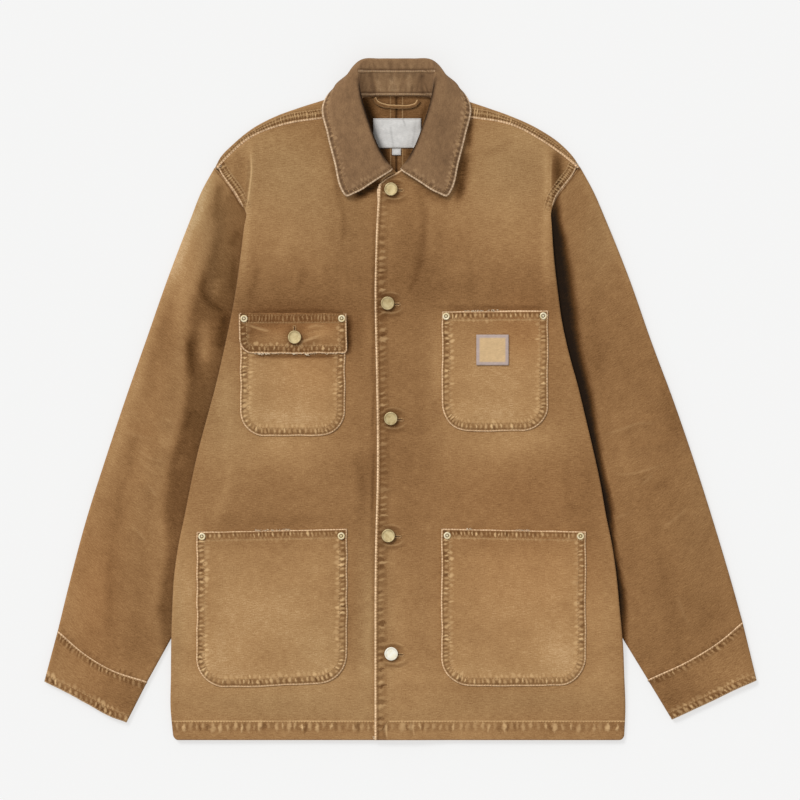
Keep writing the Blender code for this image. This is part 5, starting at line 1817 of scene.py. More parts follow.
@dataclass
class Sleeves:
    """Both top sleeves, folded under along both edges, with their undersleeves."""

    cloths: Cloths
    length: float = 620.0
    width: float = 100.0
    step: float = 3.2
    under_length: float = 600.0
    under_width: float = 80.0
    under_start: int = 4  # rows of points by which the undersleeve starts later
    middle: tuple[float, float, float] = (CENTRE_X, 150.0, 0.0)  # where the armhole's cloth tends to

    def sewing(self, side: Side) -> Sewing:
        """The armhole's worn edge, the soft step at the cuff, and the sleeve's fade with its painted light
        and shade.
        """
        seams = (
            Seam(
                points_along(places(ARMHOLE, side), 40)[:: -side.value], (2.6,), band=3.4, pucker=(0.5, 4.0),
                relief=0.2, edge=1.1, bare=0.6, bars=0.0, darker=0.1, holes=0.0,
                fades=(16.0, 0.0)[:: -side.value], seed=61,
            ),
            Seam(
                points_along(places(CUFF_SEAM, side), 60)[:: -side.value], (), band=2.0, pucker=(0.5, 6.0),
                relief=0.35, edge=0.0, bars=0.0, darker=0.06, seed=62,
            ),
        )
        tone = 0.56 if side is Side.RIGHT else 0.47
        base = fade(tone, SLEEVE_FADE_AND_SHADE[side], SLEEVE_PAINTED_LIGHT[side], SLEEVE_PAINTED_FOLD_LIGHT[side])
        # the valley's painted shade is taken off the fade
        return Sewing(lambda p: base(p) - valley_shade(side, p), seams, SLEEVE_CREST_LINES[side])

    def top(self, side: Side) -> None:
        """One top sleeve, from the armhole to the cuff seam."""
        v = graded(self.length, 1.6, 1.6, self.step, 8.0)
        frame = sleeve_frame(side, v)
        armhole = front_frame(side).edge[SIDE_ROWS:][::-1]
        armhole = armhole[2:-1] + np.array([side.value * 0.75, -0.5]) * SEAM_GAP * 2.0
        u = graded(self.width, 1.8, 1.8, self.step, 4.0)
        top_edge = runs_along(np.concatenate([frame.outer_start[:1], armhole, frame.inner_start[:1]]), u)
        cuff = places(CUFF_SEAM, side)
        cuff = np.concatenate([frame.outer_start[-1:], cuff[1:-1], frame.inner_start[-1:]])
        flat = coons(top_edge, points_along(cuff, u), frame.outer_start, frame.inner_start, u, v)
        sheet = laid(flat, partial(sleeve_surface, side))
        sheet[:, 0, 2], sheet[:, -1, 2] = frame.outer_top, frame.inner_top
        floor = np.zeros(len(v))
        outer_fold = turned_under(frame.outer, frame.out, frame.outer_top, floor)
        inner_fold = turned_under(frame.inner, -frame.out, frame.inner_top, floor)
        outer_tongue = with_height(frame.outer_start - frame.out * SLEEVE_TONGUE, floor)[:, None]
        inner_tongue = with_height(frame.inner_start + frame.out * INNER_TONGUE, floor)[:, None]
        grid = np.concatenate([outer_tongue, outer_fold[:, ::-1], sheet, inner_fold, inner_tongue], axis=1)

        sewing = self.sewing(side)
        first = 1 + len(ARC)
        mask = np.zeros(grid.shape[:2])
        mask[:, first + 1 : first + sheet.shape[1] - 1] = 1.0
        weave = pair(row_lengths(grid) + 700.0, down_rows(v * self.length, grid.shape[1]) + 90.0 * side.value)
        grid[..., 2] += sewing.wear(grid[..., :2]).relief * mask
        shown = np.zeros((1, grid.shape[1], 1))
        shown[:, first - 5 : first + sheet.shape[1] + 5] = 1.0
        level = np.array([1.0, 1.0, 0.0])
        run = unit(grid[:2].mean(axis=1) - grid[2:4].mean(axis=1))[:1, None] * level
        towards = unit(np.array(self.middle) - grid[:1] * level)
        drop = with_height(0.0 * grid[:1, :, :2], np.minimum(1.7, 0.35 * grid[:1, :, 2]))
        head = grid[:1] + (towards * 2.9 + run * 2.7 - drop) * shown
        foot = grid[-1:] - run * 2.8 - np.array([0.0, 0.0, 1.5]) * shown
        grid = np.concatenate([head, grid, foot])
        weave = np.concatenate([weave[:1], weave, weave[-1:]])
        wear = sewing.wear(grid[..., :2])
        piece = ClothPiece(f"sleeve_{side.label}", grid, WALL, self.cloths.canvas, wear, weave)
        piece.hand_over(f"undersleeve_{side.label}")

    def under(self, side: Side) -> None:
        """One undersleeve: flat on the surface between the top sleeve's turned edges."""
        v = graded(self.length, 3.0, 3.0, 7.0, 6.0)
        frame, first = sleeve_frame(side, v), self.under_start
        start = (frame.outer_start - frame.out * (SLEEVE_TONGUE + SEAM_GAP))[first:]
        end = (frame.inner_start + frame.out * (INNER_TONGUE + SEAM_GAP))[first:]
        u = graded(self.under_width, 2.0, 2.0, 6.0, 3.0)
        cuff = points_along(places(CUFF_SEAM, side), 30)
        bottom = np.stack([start[-1], cuff[10], cuff[20], end[-1]])
        v = (v[first:] - v[first]) / (1.0 - v[first])
        flat = coons(start[0] + u[:, None] * (end[0] - start[0]), runs_along(bottom, u), start, end, u, v)
        grid = with_height(flat, np.full(flat.shape[:2], WALL))
        weave = pair(row_lengths(grid) - 300.0, down_rows(v * self.under_length, len(u)))
        ClothPiece(f"undersleeve_{side.label}", grid, WALL, self.cloths.canvas, weave=weave).hand_over()

    def build(self, side: Side) -> None:
        """Both parts of one sleeve."""
        self.top(side)
        self.under(side)


@dataclass
class Cuffs:
    """Both cuffs: a doubled band all the way round the sleeve's end, open at both ends."""

    cloths: Cloths
    thread: Thread
    depth: float = 47.0
    width: float = 104.0
    hem_rows: tuple[float, ...] = (1.6, 8.6)

    def sewing(self, side: Side, seam: Array, hem: Array) -> Sewing:
        """The row at the sleeve and the two rows at the hem."""
        hem, seam = hem[:: -side.value], seam[:: side.value]
        seams = (
            Seam(
                points_along(seam, 60), (2.2,), band=8.0, pucker=(0.6, 9.0), spacing=6.2, slant=0.25,
                relief=0.45, edge=1.3, bare=0.85, darker=0.1, slim=0.56, halo=0.0, bars=0.55, shade=0.9,
                seed=71 + side.value,
            ),
            Seam(
                points_along(hem, 60), self.hem_rows, band=8.0, pucker=(0.6, 8.2), spacing=6.6, slant=0.35,
                relief=0.4, edge=0.9, bare=0.6, darker=0.1, slim=0.66, halo=0.5, welt=0.15, bars=1.1,
                shade=0.7, seed=81 + side.value,
            ),
        )
        tone = 0.5 if side is Side.RIGHT else 0.46
        spots = many(Spot, (side.value * 395, -318, 30, 26, 0.08), (side.value * 318, -350, 30, 26, -0.1))
        return Sewing(fade(tone, spots), seams)

    def build(self, side: Side) -> None:
        """One cuff."""
        seam, hem = places(CUFF_SEAM, side), places(CUFF_HEM, side)
        down = unit(hem.mean(axis=0) - seam.mean(axis=0))
        seam = seam + down * 2.0 * SEAM_GAP
        v = graded(self.depth, 1.4, 1.4, 1.7, 10.0)
        u = graded(self.width, 1.6, 1.6, 2.0, 8.0)
        top_z = float(sleeve_frame(side, np.linspace(0.0, 1.0, 20)).outer_top[-1])
        height = top_z + (CUFF_HEIGHT - top_z) * v
        radius = (height / 2.0)[:, None]
        outer = (1 - v[:, None]) * seam[0] + v[:, None] * hem[0]
        inner = (1 - v[:, None]) * seam[-1] + v[:, None] * hem[-1]
        out = unit(outer - inner)
        outer_start, inner_start = outer - out * radius, inner + out * radius
        first = points_along(np.concatenate([outer_start[:1], seam[1:-1], inner_start[:1]]), u)
        last = points_along(np.concatenate([outer_start[-1:], hem[1:-1], inner_start[-1:]]), u)
        flat = coons(first, last, outer_start, inner_start, u, v)
        sewing = self.sewing(side, seam, hem)
        wear = sewing.wear(flat)
        calm = ease(np.minimum(u, 1.0 - u) * self.width / 6.0)[None]
        soft = 1.2 * rumple(flat[..., 0] * 1.3, flat[..., 1])
        top = with_height(flat, height[:, None] + (wear.relief + soft) * calm)
        under = with_height(flat[:, ::-1], np.zeros(1))[:, 1:-1]
        floor = np.zeros(len(v))
        inner_fold = turned_under(inner, -out, height, floor)
        outer_fold = turned_under(outer, out, height, floor)[:, ::-1]
        ring = np.concatenate([top, inner_fold, under, outer_fold], axis=1)
        wear = sewing.wear(ring[..., :2])
        around = np.arange(ring.shape[1])[None] * 2.0 + np.zeros((len(v), 1))
        weave = pair(around + 40.0, down_rows(v * self.depth, ring.shape[1]))
        node, canvas = f"cuff_{side.label}", self.cloths.canvas
        ClothPiece(node, ring, WALL, canvas, wear, weave, probe=(3, 8), closed=True).hand_over()

        def face(x: Array, y: Array) -> Array:
            """The cuff's upper face: between both heights by the distance from the seam."""
            away = nearest(pair(x, y), points_along(seam, 60))[0]
            share = np.clip(away / self.depth, 0.0, 1.0)
            return top_z + (CUFF_HEIGHT - top_z) * share + 1.2 * rumple(x * 1.3, y)

        self.thread.sew(sewing, face)


# ---------------- collar


@dataclass
class Collar:
    """The collar: a stand round the neck that rolls over and falls to the leaf's edge."""

    cloths: Cloths
    thread: Thread
    rounding: float = 6.0
    half_length: float = 190.0
    stand_columns: int = 52  # points across a cut, from the neck to the crest of its roll
    leaf_columns: int = 36  # and on to the leaf's edge
    crest: int = 42  # the column where the roll starts to turn down
    stitch_in: float = 7.0
    pitch: float = 2.9
    end_rows: float = 78.0  # how far in from the leaf's edge the stitches run at both ends
    shade_gap: int = 22  # cuts that the shade along the roll leaves free on each side of the middle
    stand_rows: tuple[float, float] = (386.8, 360.3)
    tip: float = 5.0

    def sections(self) -> Array:
        """A few cuts across the collar, each with the crest of its roll rounded."""
        made = []
        for row in COLLAR:
            base, roll, middle, knee, end = np.array(row, float)
            up, down = unit(base - roll), unit(middle - roll)
            before, after = roll + up * self.rounding, roll + down * self.rounding
            crest = (before + after) / 4.0 + roll / 2.0
            early = (before + crest) / 2.0 + (roll - crest) * 0.12
            late = (after + crest) / 2.0 + (roll - crest) * 0.12
            stand = [base, base + (before - base) * 0.5, before, early, crest, late, after]
            leaf = [(after + middle) / 2.0, middle, middle * 0.5 + knee * 0.5, knee]
            made.append(stand + leaf + [knee * 0.45 + end * 0.55, end])
        return np.array(made)

    def half(self) -> Array:
        """Half the collar as a fine grid: cuts along it, points across it."""
        few = self.sections()
        shares = graded(self.half_length, 1.6, 3.0, 2.9, 10.0)
        count = few.shape[1]
        long = np.stack([points_along(few[:, k], shares) for k in range(count)], axis=1)
        turn, end = count // 2, count - 1.0
        stand = np.linspace(0.0, turn, self.stand_columns)
        across = np.concatenate([stand, np.linspace(turn, end, self.leaf_columns)[1:]])
        fine = []
        for row in long:
            at = lengths(row)
            wanted = np.interp(across, np.arange(count), at)
            fine.append([smooth(at, column, wanted) for column in row.T])
        return np.array(fine).transpose(0, 2, 1)

    def chart(self, grid: Array) -> Array:
        """Place on the leaf in millimetres: along its edge, and inwards from it."""
        return pair(down_rows(lengths(grid[:, -1]), grid.shape[1]), row_lengths(grid[:, ::-1])[:, ::-1])

    def line(self, grid: Array, chart: Array, away: float) -> Array:
        """The line at one distance in from the leaf's edge."""
        cuts = zip(grid, chart[..., 1])
        return np.array([[np.interp(-away, -reach, column) for column in cut.T] for cut, reach in cuts])

    def level(self, grid: Array, chart: Array, height: float) -> tuple[Array, Array]:
        """The stand's line at one height up the body: its points, and their places on the chart."""
        points, spots, rising = [], [], np.arange(self.crest + 2.0)
        for cut, place in zip(grid[:, : len(rising)], chart[:, : len(rising)]):
            if cut[:, 1].max() > height and cut[0, 1] > BACK_NECK_Y - 8.0:
                at = np.interp(height, cut[:, 1], rising)
                points.append([np.interp(at, rising, column) for column in cut.T])
                spots.append([place[0, 0], np.interp(at, rising, place[:, 1])])
        return np.array(points), np.array(spots)

    def build(self) -> None:
        """The whole collar, with its stitches."""
        half = self.half()
        mirrored = half[::-1][1:].copy()
        half[..., 0] = CENTRE_X - half[..., 0]
        mirrored[..., 0] = CENTRE_X + mirrored[..., 0]
        grid = np.concatenate([half, mirrored], axis=0)
        grid[..., 1] -= 2.0 * ease((grid[..., 1] - 370.0) / 22.0)
        chart = self.chart(grid)
        length = chart[-1, 0, 0]
        sewing = self.sewing(chart, [self.level(grid, chart, height)[1] for height in self.stand_rows])
        wear = sewing.wear(chart)
        x, y = chart[..., 0], chart[..., 1]
        soft = 0.5 * Drift(5, 34.0)(x, y) + 0.2 * Drift(6, 13.0)(x, y)
        grid[..., 2] += (wear.relief + soft) * ease(y / 3.0 + 0.4)
        away = pair(np.minimum(x, length - x), y)
        moved = rounded(away, self.tip) - away
        inwards = np.where(chart[..., :1] < length / 2.0, 1.0, -1.0)
        grid += moved[..., :1] * unit(np.gradient(grid, axis=0)) * inwards
        grid -= moved[..., 1:] * unit(np.gradient(grid, axis=1))
        piece = ClothPiece("collar", grid, COLLAR_WALL, self.cloths.collar, wear, chart)
        piece.hand_over("front_left", "front_right", slot="collar_cloth", held="folded")
        lines = [self.line(grid, chart, self.stitch_in)]
        lines += [self.level(grid, chart, height)[0] for height in self.stand_rows]
        inner = round(self.stitch_in / self.pitch)
        for first, cut in ((0, inner), (len(grid) - 1, len(grid) - 1 - inner)):
            reach = chart[first, :, 1]
            lines.append(grid[cut][(reach > self.stitch_in) & (reach < self.end_rows)])
        for line in lines:
            self.thread.along(line, self.pitch)

    def sewing(self, chart: Array, rows: list[Array]) -> Sewing:
        """The seam round the leaf, the two rows on the stand, and the fade with its painted shade, all as
        places on the chart.
        """
        length, middle = chart[-1, 0, 0], len(chart) // 2
        depth = chart[middle, 0, 1]
        edge = pair(np.linspace(0.0, length, 200), np.zeros(200))
        rise = pair(np.zeros(30), np.linspace(70.0, 0.0, 30))
        fall = pair(np.full(30, length), np.linspace(0.0, 70.0, 30))
        look = dict(
            band=7.6, pucker=(1.8, 8.4), spacing=6.0, relief=0.35, edge=2.0, bare=0.92, darker=0.05, slim=0.6,
            halo=0.7, welt=0.1, bars=0.6, shade=0.4, holes=0.1,
        )
        row_look = dict(
            band=4.0, pucker=(0.8, 12.0), spacing=11.0, relief=0.12, edge=1.1, bare=0.4, darker=0.0, slim=0.6,
            halo=0.0, bars=0.15, shade=0.4, holes=0.6,
        )
        seams = [
            Seam(line, (self.stitch_in,), seed=seed, **look)
            for line, seed in ((edge, 91), (rise, 92), (fall, 93))
        ]
        seams += [Seam(row, (0.0,), seed=seed, **row_look) for row, seed in zip(rows, (94, 95))]
        spots = many(Spot, (length / 2, depth - 16, 54, 22, 0.24), (length / 2, depth - 3, 54, 6, 0.12))
        # painted shade on the stand along the inside of each leaf's roll
        crest, gap = chart[:, self.crest] + np.array([0.0, 2.2]), self.shade_gap
        tracks = many(Track, (crest[4 : middle - gap], 2.8, -1.1), (crest[middle + gap : -4], 2.8, -0.8))
        # a dark line beside each row on the stand: painted shade in the crease there
        tracks += tuple(Track(row - np.array([0.0, 1.9]), 1.2, -0.3) for row in rows)
        # painted light and shade of the stand's upright folds, darkest at its two ends
        tracks += tuple(
            Track(((length / 2.0 + x, depth - 4.0), (length / 2.0 + x + lean, depth - 30.0)), half, amount)
            for x, lean, half, amount in (
                (-42, 4, 3.5, -0.3), (-30, -3, 4, 0.16), (-17, 3, 3, -0.16), (-6, -5, 4.5, 0.12),
                (9, 3, 3.5, -0.14), (21, -2, 4, 0.14), (33, 6, 3, -0.22), (44, -3, 4, -0.26),
            )
        )
        return Sewing(fade(0.5, spots, tracks=tracks), tuple(seams), plan=False)


# ---------------- pockets


class PocketShape(NamedTuple):
    """A patch pocket: its corners, how round its lower ones are, and how it hangs out of true."""

    name: str
    side: Side
    x0: float
    x1: float
    top_y: float
    bottom_y: float
    corner: float
    top_lift: tuple[float, float]
    bottom_drop: tuple[float, float, float]


POCKETS = many(
    PocketShape, ("chest_pocket_right", Side.RIGHT, -189, -65.5, 102, -42.5, 29, (0, 0), (0, -0.6, 0.4)),
    ("chest_pocket_left", Side.LEFT, 48.8, 173.8, 104.5, -37, 31, (-0.6, 0.6), (0.4, -0.4, 0)),
    ("lower_pocket_right", Side.RIGHT, -240.5, -63, -154.5, -338, 33, (-1.6, 1.6), (-0.6, -1, 4)),
    ("lower_pocket_left", Side.LEFT, 48.2, 218.6, -154, -338, 33, (1.4, -1.8), (0.8, -0.4, 0.8)),
)
POCKET_BELLY = 1.2
POCKET_SINK = 26.0
RIM_ROUNDING = 0.5
FLAP_X = (-190.2, -63.5)
FLAP_Y = (54.5, 101.0)
FLAP_CORNER = (16.0, 4.0)
SQUARE = (0.0, 0.0)
SHOULDER_POINT_Z = 7.4
PATCH_X = (89.5, 127.5)
PATCH_Y = (40.5, 76.5)
POCKET_CREASES = {
    "chest_pocket_right": (Stroke(-150.0, 34.0, -96.0, -26.0, 12.0, 0.5),),
    "chest_pocket_left": many(Stroke, (80, 30, 128, -20, 13, 0.5), (60, 90, 92, 50, 9, -0.4)),
    "lower_pocket_right": many(Stroke, (-214, -190, -120, -224, 9, 0.55), (-150, -250, -90, -310, 12, -0.5)),
    "lower_pocket_left": many(Stroke, (70, -190, 150, -214, 10, 0.5), (120, -240, 196, -300, 13, -0.5)),
}
# painted shadow that the flap casts on its pocket, and a lighter line under the other chest pocket's top
POCKET_MARKS = {
    "chest_pocket_right": (Stroke(-176.0, 51.0, -66.0, 51.0, 2.6, -0.4),),
    "chest_pocket_left": (Stroke(56.0, 99.5, 168.0, 99.5, 3.6, 0.16),),
}
POCKET_FADE = {
    "chest_pocket_right": many(Spot, (-182, 8, 14, 46, 0.12), (-128, -24, 60, 16, 0.18)),
    "chest_pocket_left": many(Spot, (112, -18, 58, 16, 0.14), (166, 20, 13, 50, 0.12)),
    "lower_pocket_right": many(
        Spot, (-222, -306, 34, 34, 0.18), (-88, -308, 34, 30, 0.12), (-206, -220, 24, 50, 0.1),
        (-96, -190, 30, 24, 0.1), (-150, -324, 90, 10, 0.08),
    ),
    "lower_pocket_left": many(
        Spot, (196, -304, 36, 36, 0.2), (66, -308, 34, 34, 0.1), (198, -200, 26, 40, 0.08),
        (120, -286, 34, 28, -0.06), (130, -324, 90, 10, 0.08),
    ),
}


def pocket_face(pocket: PocketShape, x: Array, y: Array) -> Array:
    """Upper face of a pocket: on its front, with a low belly inside its edges and its own creases."""
    inside = np.minimum(np.minimum(x - pocket.x0, pocket.x1 - x), y - pocket.bottom_y)
    belly = POCKET_BELLY * ease(inside / POCKET_SINK) * ease((pocket.top_y - y) / 40.0)
    creases = strokes(POCKET_CREASES[pocket.name], x, y) * ease((inside - 8.0) / 14.0)
    soft = 0.35 * Drift(21, 17.0)(x, y) * ease((inside - 4.0) / 16.0)
    level = front_surface(pocket.side, x, y) + LAID_GAP + belly + POCKET_WALL
    return level + np.maximum(creases + soft, -0.3)


def rounded_patch(
    x_span: Sequence[float], y_span: Sequence[float], radii: tuple[float, float], step: float,
) -> tuple[Array, Array]:
    """A flat grid whose two lower corners are quarter circles, and its outline but for the top.

    At a height above the bottom the inset is the radius less the root of the radius squared less the
    squared rest of it, so every row ends on the outline.

    Returns:
        The grid of x and y, and the outline from the upper left corner round to the upper right.
    """
    (x0, x1), (y0, y1) = x_span, y_span
    large = max(radii)
    count = max(int(large * 1.6 / step), 2) if large > 0.0 else 1
    low = y0 + large * (1.0 - np.cos(np.linspace(0.0, math.pi / 2.0, count)))
    levels = np.concatenate([low, np.linspace(low[-1], y1, int((y1 - low[-1]) / step) + 1)[1:]])
    inset_left, inset_right = (
        radius - np.sqrt(np.maximum(radius**2 - np.maximum(radius - levels + y0, 0.0) ** 2, 0.0))
        for radius in radii
    )
    u = np.linspace(0.0, 1.0, int((x1 - x0) / step) + 1)[None]
    x = (x0 + inset_left)[:, None] * (1 - u) + (x1 - inset_right)[:, None] * u
    flat = pair(x, down_rows(levels, x.shape[1]))
    return flat, np.concatenate([flat[::-1, 0], flat[0, 1:-1], flat[:, -1]])


def closed_line(outline: Array) -> Array:
    """An outline with its top, as evenly spaced points."""
    return runs_along(np.concatenate([outline, outline[:1]]), np.linspace(0.0, 1.0, 200))


@dataclass
class Pockets:
    """Four patch pockets, the flap of one and the bare woven patch of another."""

    cloths: Cloths
    thread: Thread
    fray: Thread
    band_rows: tuple[float, ...] = (1.4, 9.4)
    top_row: float = 10.0

    def warp(self, pocket: PocketShape, flat: Array) -> Array:
        """The grid with its top tilted, its bottom hanging unevenly, and its edges a little wavy."""
        x, y = flat[..., 0], flat[..., 1]
        share = (x - pocket.x0) / (pocket.x1 - pocket.x0)
        up = ease((y - pocket.bottom_y) / (pocket.top_y - pocket.bottom_y))
        lift = pocket.top_lift[0] * (1 - share) + pocket.top_lift[1] * share
        drop = np.interp(share, [0.0, 0.35, 1.0], pocket.bottom_drop)
        wave_x = 0.55 * Drift(31, 17.0)(y, pocket.x0)
        wave_y = 0.5 * Drift(32, 15.0)(x, pocket.top_y)
        return pair(x + wave_x, y + up * lift + (1 - up) * drop + wave_y)

    def sewing(self, pocket: PocketShape, outline: Array) -> Sewing:
        """The doubled seam round three sides, and the hem along the top."""
        top = np.stack([outline[-1], outline[0]])
        seams = (
            Seam(
                runs_along(outline, np.linspace(0.0, 1.0, 260)), self.band_rows, band=11.0, pucker=(1.8, 9.6),
                spacing=6.0, slant=0.1, relief=0.5, edge=1.5, bare=0.88, darker=0.05, slim=0.66, halo=0.6,
                welt=0.1, bars=1.15, shade=0.7, seed=int(abs(pocket.x0)) + 3,
            ),
            Seam(
                points_along(top, 100), (self.top_row,), band=10.4, pucker=(1.8, 8.8), spacing=5.0, slant=0.1,
                relief=0.36, edge=1.4 if pocket is not POCKETS[0] else 0.0, bare=0.85, darker=0.14, slim=0.6,
                halo=0.3, welt=0.3, bars=1.1, shade=0.8, seed=int(abs(pocket.x1)) + 5,
            ),
        )
        middle_x, middle_y = (pocket.x0 + pocket.x1) / 2.0, (pocket.bottom_y + pocket.top_y) / 2.0
        half_x, half_y = (pocket.x1 - pocket.x0) / 2.0, (pocket.top_y - pocket.bottom_y) / 2.0
        # a faded middle, and painted shade under the top band
        spots = many(
            Spot, (middle_x, middle_y - 8, half_x * 0.8, half_y * 0.75, 0.2),
            (middle_x, pocket.top_y - 16, half_x, 9, -0.06),
        )
        marks = POCKET_MARKS.get(pocket.name, ())
        return Sewing(fade(0.55, spots + POCKET_FADE[pocket.name], marks), seams)

    def pocket(self, pocket: PocketShape) -> None:
        """One pocket."""
        x_span, y_span = (pocket.x0, pocket.x1), (pocket.bottom_y, pocket.top_y)
        grids = rounded_patch(x_span, y_span, (pocket.corner, pocket.corner), 1.5)
        flat, outline = (self.warp(pocket, points) for points in grids)
        sewing, face = self.sewing(pocket, outline), partial(pocket_face, pocket)
        wear = sewing.wear(flat)
        grid = laid(flat, face)
        grid[..., 2] = grid[..., 2] + wear.relief - RIM_ROUNDING * (1.0 - ease(wear.rim / 1.6))
        weave = flat + np.array([pocket.x0 * 3.0, pocket.top_y * 2.0])
        piece = ClothPiece(pocket.name, grid, POCKET_WALL, self.cloths.canvas, wear, weave)
        piece.hand_over(f"front_{pocket.side.label}")
        self.thread.sew(sewing, face)

    def flap_face(self, x: Array, y: Array) -> Array:
        """Upper face of the flap: on its pocket, with one soft crease across its middle."""
        crease = Stroke(FLAP_X[0] + 20.0, 80.0, FLAP_X[1] - 12.0, 76.0, 8.0, 0.6)
        over = pocket_face(POCKETS[0], x, y) + LAID_GAP + POCKET_WALL
        return over + strokes((crease,), x, y) + 0.2 * Drift(41, 14.0)(x, y)

    def flap(self) -> None:
        """The flap over one chest pocket, frayed along its lower edge."""
        flat, outline = (
            points + pair(0.4 * Drift(42, 13.0)(points[..., 1]), 0.5 * Drift(43, 14.0)(points[..., 0]))
            for points in rounded_patch(FLAP_X, FLAP_Y, FLAP_CORNER, 1.25)
        )
        top = np.stack([outline[-1], outline[0]])
        seams = (
            Seam(
                runs_along(outline, np.linspace(0.0, 1.0, 240)), (1.5, 8.8), band=10.0, pucker=(1.8, 8.6),
                spacing=6.0, relief=0.36, edge=1.5, bare=0.8, darker=0.1, slim=0.54, halo=0.6, welt=0.15,
                bars=0.95, shade=0.7, seed=101,
            ),
            Seam(
                points_along(top, 100), (1.5, 9.8), band=11.0, pucker=(1.4, 9.6), spacing=4.2, relief=0.36,
                edge=0.0, darker=0.22, slim=0.5, halo=0.0, welt=0.2, bars=0.5, shade=0.6, seed=102,
            ),
        )
        # two lighter places, painted shade where the flap's left end bulges, and painted shadow round its
        # button
        spots = many(
            Spot, (-142, 74, 28, 8, 0.14), (-96, 79, 20, 9, 0.2), (-182, 74, 10, 16, -0.24),
            (-150, 88, 30, 5, -0.1), (-123.4, 71.6, 10.5, 10.5, -0.45),
        )
        creases = many(
            Crease, (((-121, 66), (-108, 71), (-92, 76.5)), 0.34, 0.3, 2.2),
            (((-182, 88.5), (-168, 84), (-152, 80)), 0.3, 0.3, 2.2),
            (((-112, 84), (-100, 87), (-86, 86)), 0.2, 0.2, 2.4),
        )
        sewing = Sewing(fade(0.46, spots), seams, creases)
        wear = sewing.wear(flat)
        grid = laid(flat, self.flap_face)
        grid[..., 2] += wear.relief
        piece = ClothPiece("pocket_flap", grid, POCKET_WALL, self.cloths.canvas, wear, flat + 210.0)
        piece.hand_over("chest_pocket_right")
        self.thread.sew(sewing, self.flap_face)

    def patch(self) -> None:
        """The bare woven patch, sewn flat on the other chest pocket."""

        def face(x: Array, y: Array) -> Array:
            """Upper face of the patch."""
            return pocket_face(POCKETS[1], x, y) + LAID_GAP + LABEL_WALL

        flat, outline = rounded_patch(PATCH_X, PATCH_Y, SQUARE, 1.4)
        line = closed_line(outline)
        sewing = Sewing(fade(1.0), (Seam(line, (1.6,), edge=2.2, relief=0.06, darker=0.0, seed=111),))
        wear = sewing.wear(flat)
        grid = laid(flat, face)
        grid[..., 2] += wear.relief
        piece = ClothPiece("pocket_patch", grid, LABEL_WALL, self.cloths.patch, wear)
        piece.hand_over("chest_pocket_left", slot="label_cloth")

    def frayed(self) -> None:
        """Short bare threads where the edges have worn through: many lie along, some stand across."""
        rng = np.random.default_rng(7)
        flap, shoulder = self.flap_face, lambda x, y: SHOULDER_POINT_Z + 0.0 * x
        chest, right, left = (partial(pocket_face, pocket) for pocket in POCKETS[1:])
        for start, end, face, count in (
            ((-172, 54.4), (-66, 54.6), flap, 110), ((-167, 53.8), (-162, 53.8), flap, 34),
            ((-159, 53.8), (-154, 53.8), flap, 30), ((-127, 53.8), (-124, 53.8), flap, 26),
            ((-112, 53.4), (-108.5, 53.2), flap, 34), ((-172, -154.6), (-131, -153.6), right, 70),
            ((76, 104.6), (116, 105), chest, 60), ((76, -152.8), (84, -152.8), left, 16),
            ((134, -154), (154, -154.6), left, 34), ((-216.5, 272), (-211, 277), shoulder, 9),
            ((206, 279), (210, 276), shoulder, 7),
            ((-32, -398), (-29.5, -401), partial(front_surface, Side.LEFT), 16),
        ):
            share = rng.uniform(0.0, 1.0, count)[:, None]
            place = np.array(start) * (1 - share) + np.array(end) * share + rng.normal(0.0, 0.55, (count, 2))
            turn = rng.normal(0.0, 0.7, count)
            reach = rng.uniform(0.7, 2.1, count)[:, None] * pair(np.cos(turn), np.sin(turn))
            low, high = laid(place - reach / 2.0, face), laid(place + reach / 2.0, face)
            self.fray.between(low + np.array([0.0, 0.0, 0.25]), high + np.array([0.0, 0.0, 0.45]))

    def build(self) -> None:
        """Everything on the fronts."""
        for pocket in POCKETS:
            self.pocket(pocket)
        self.flap()
        self.patch()
        self.frayed()


# ---------------- inside the neck


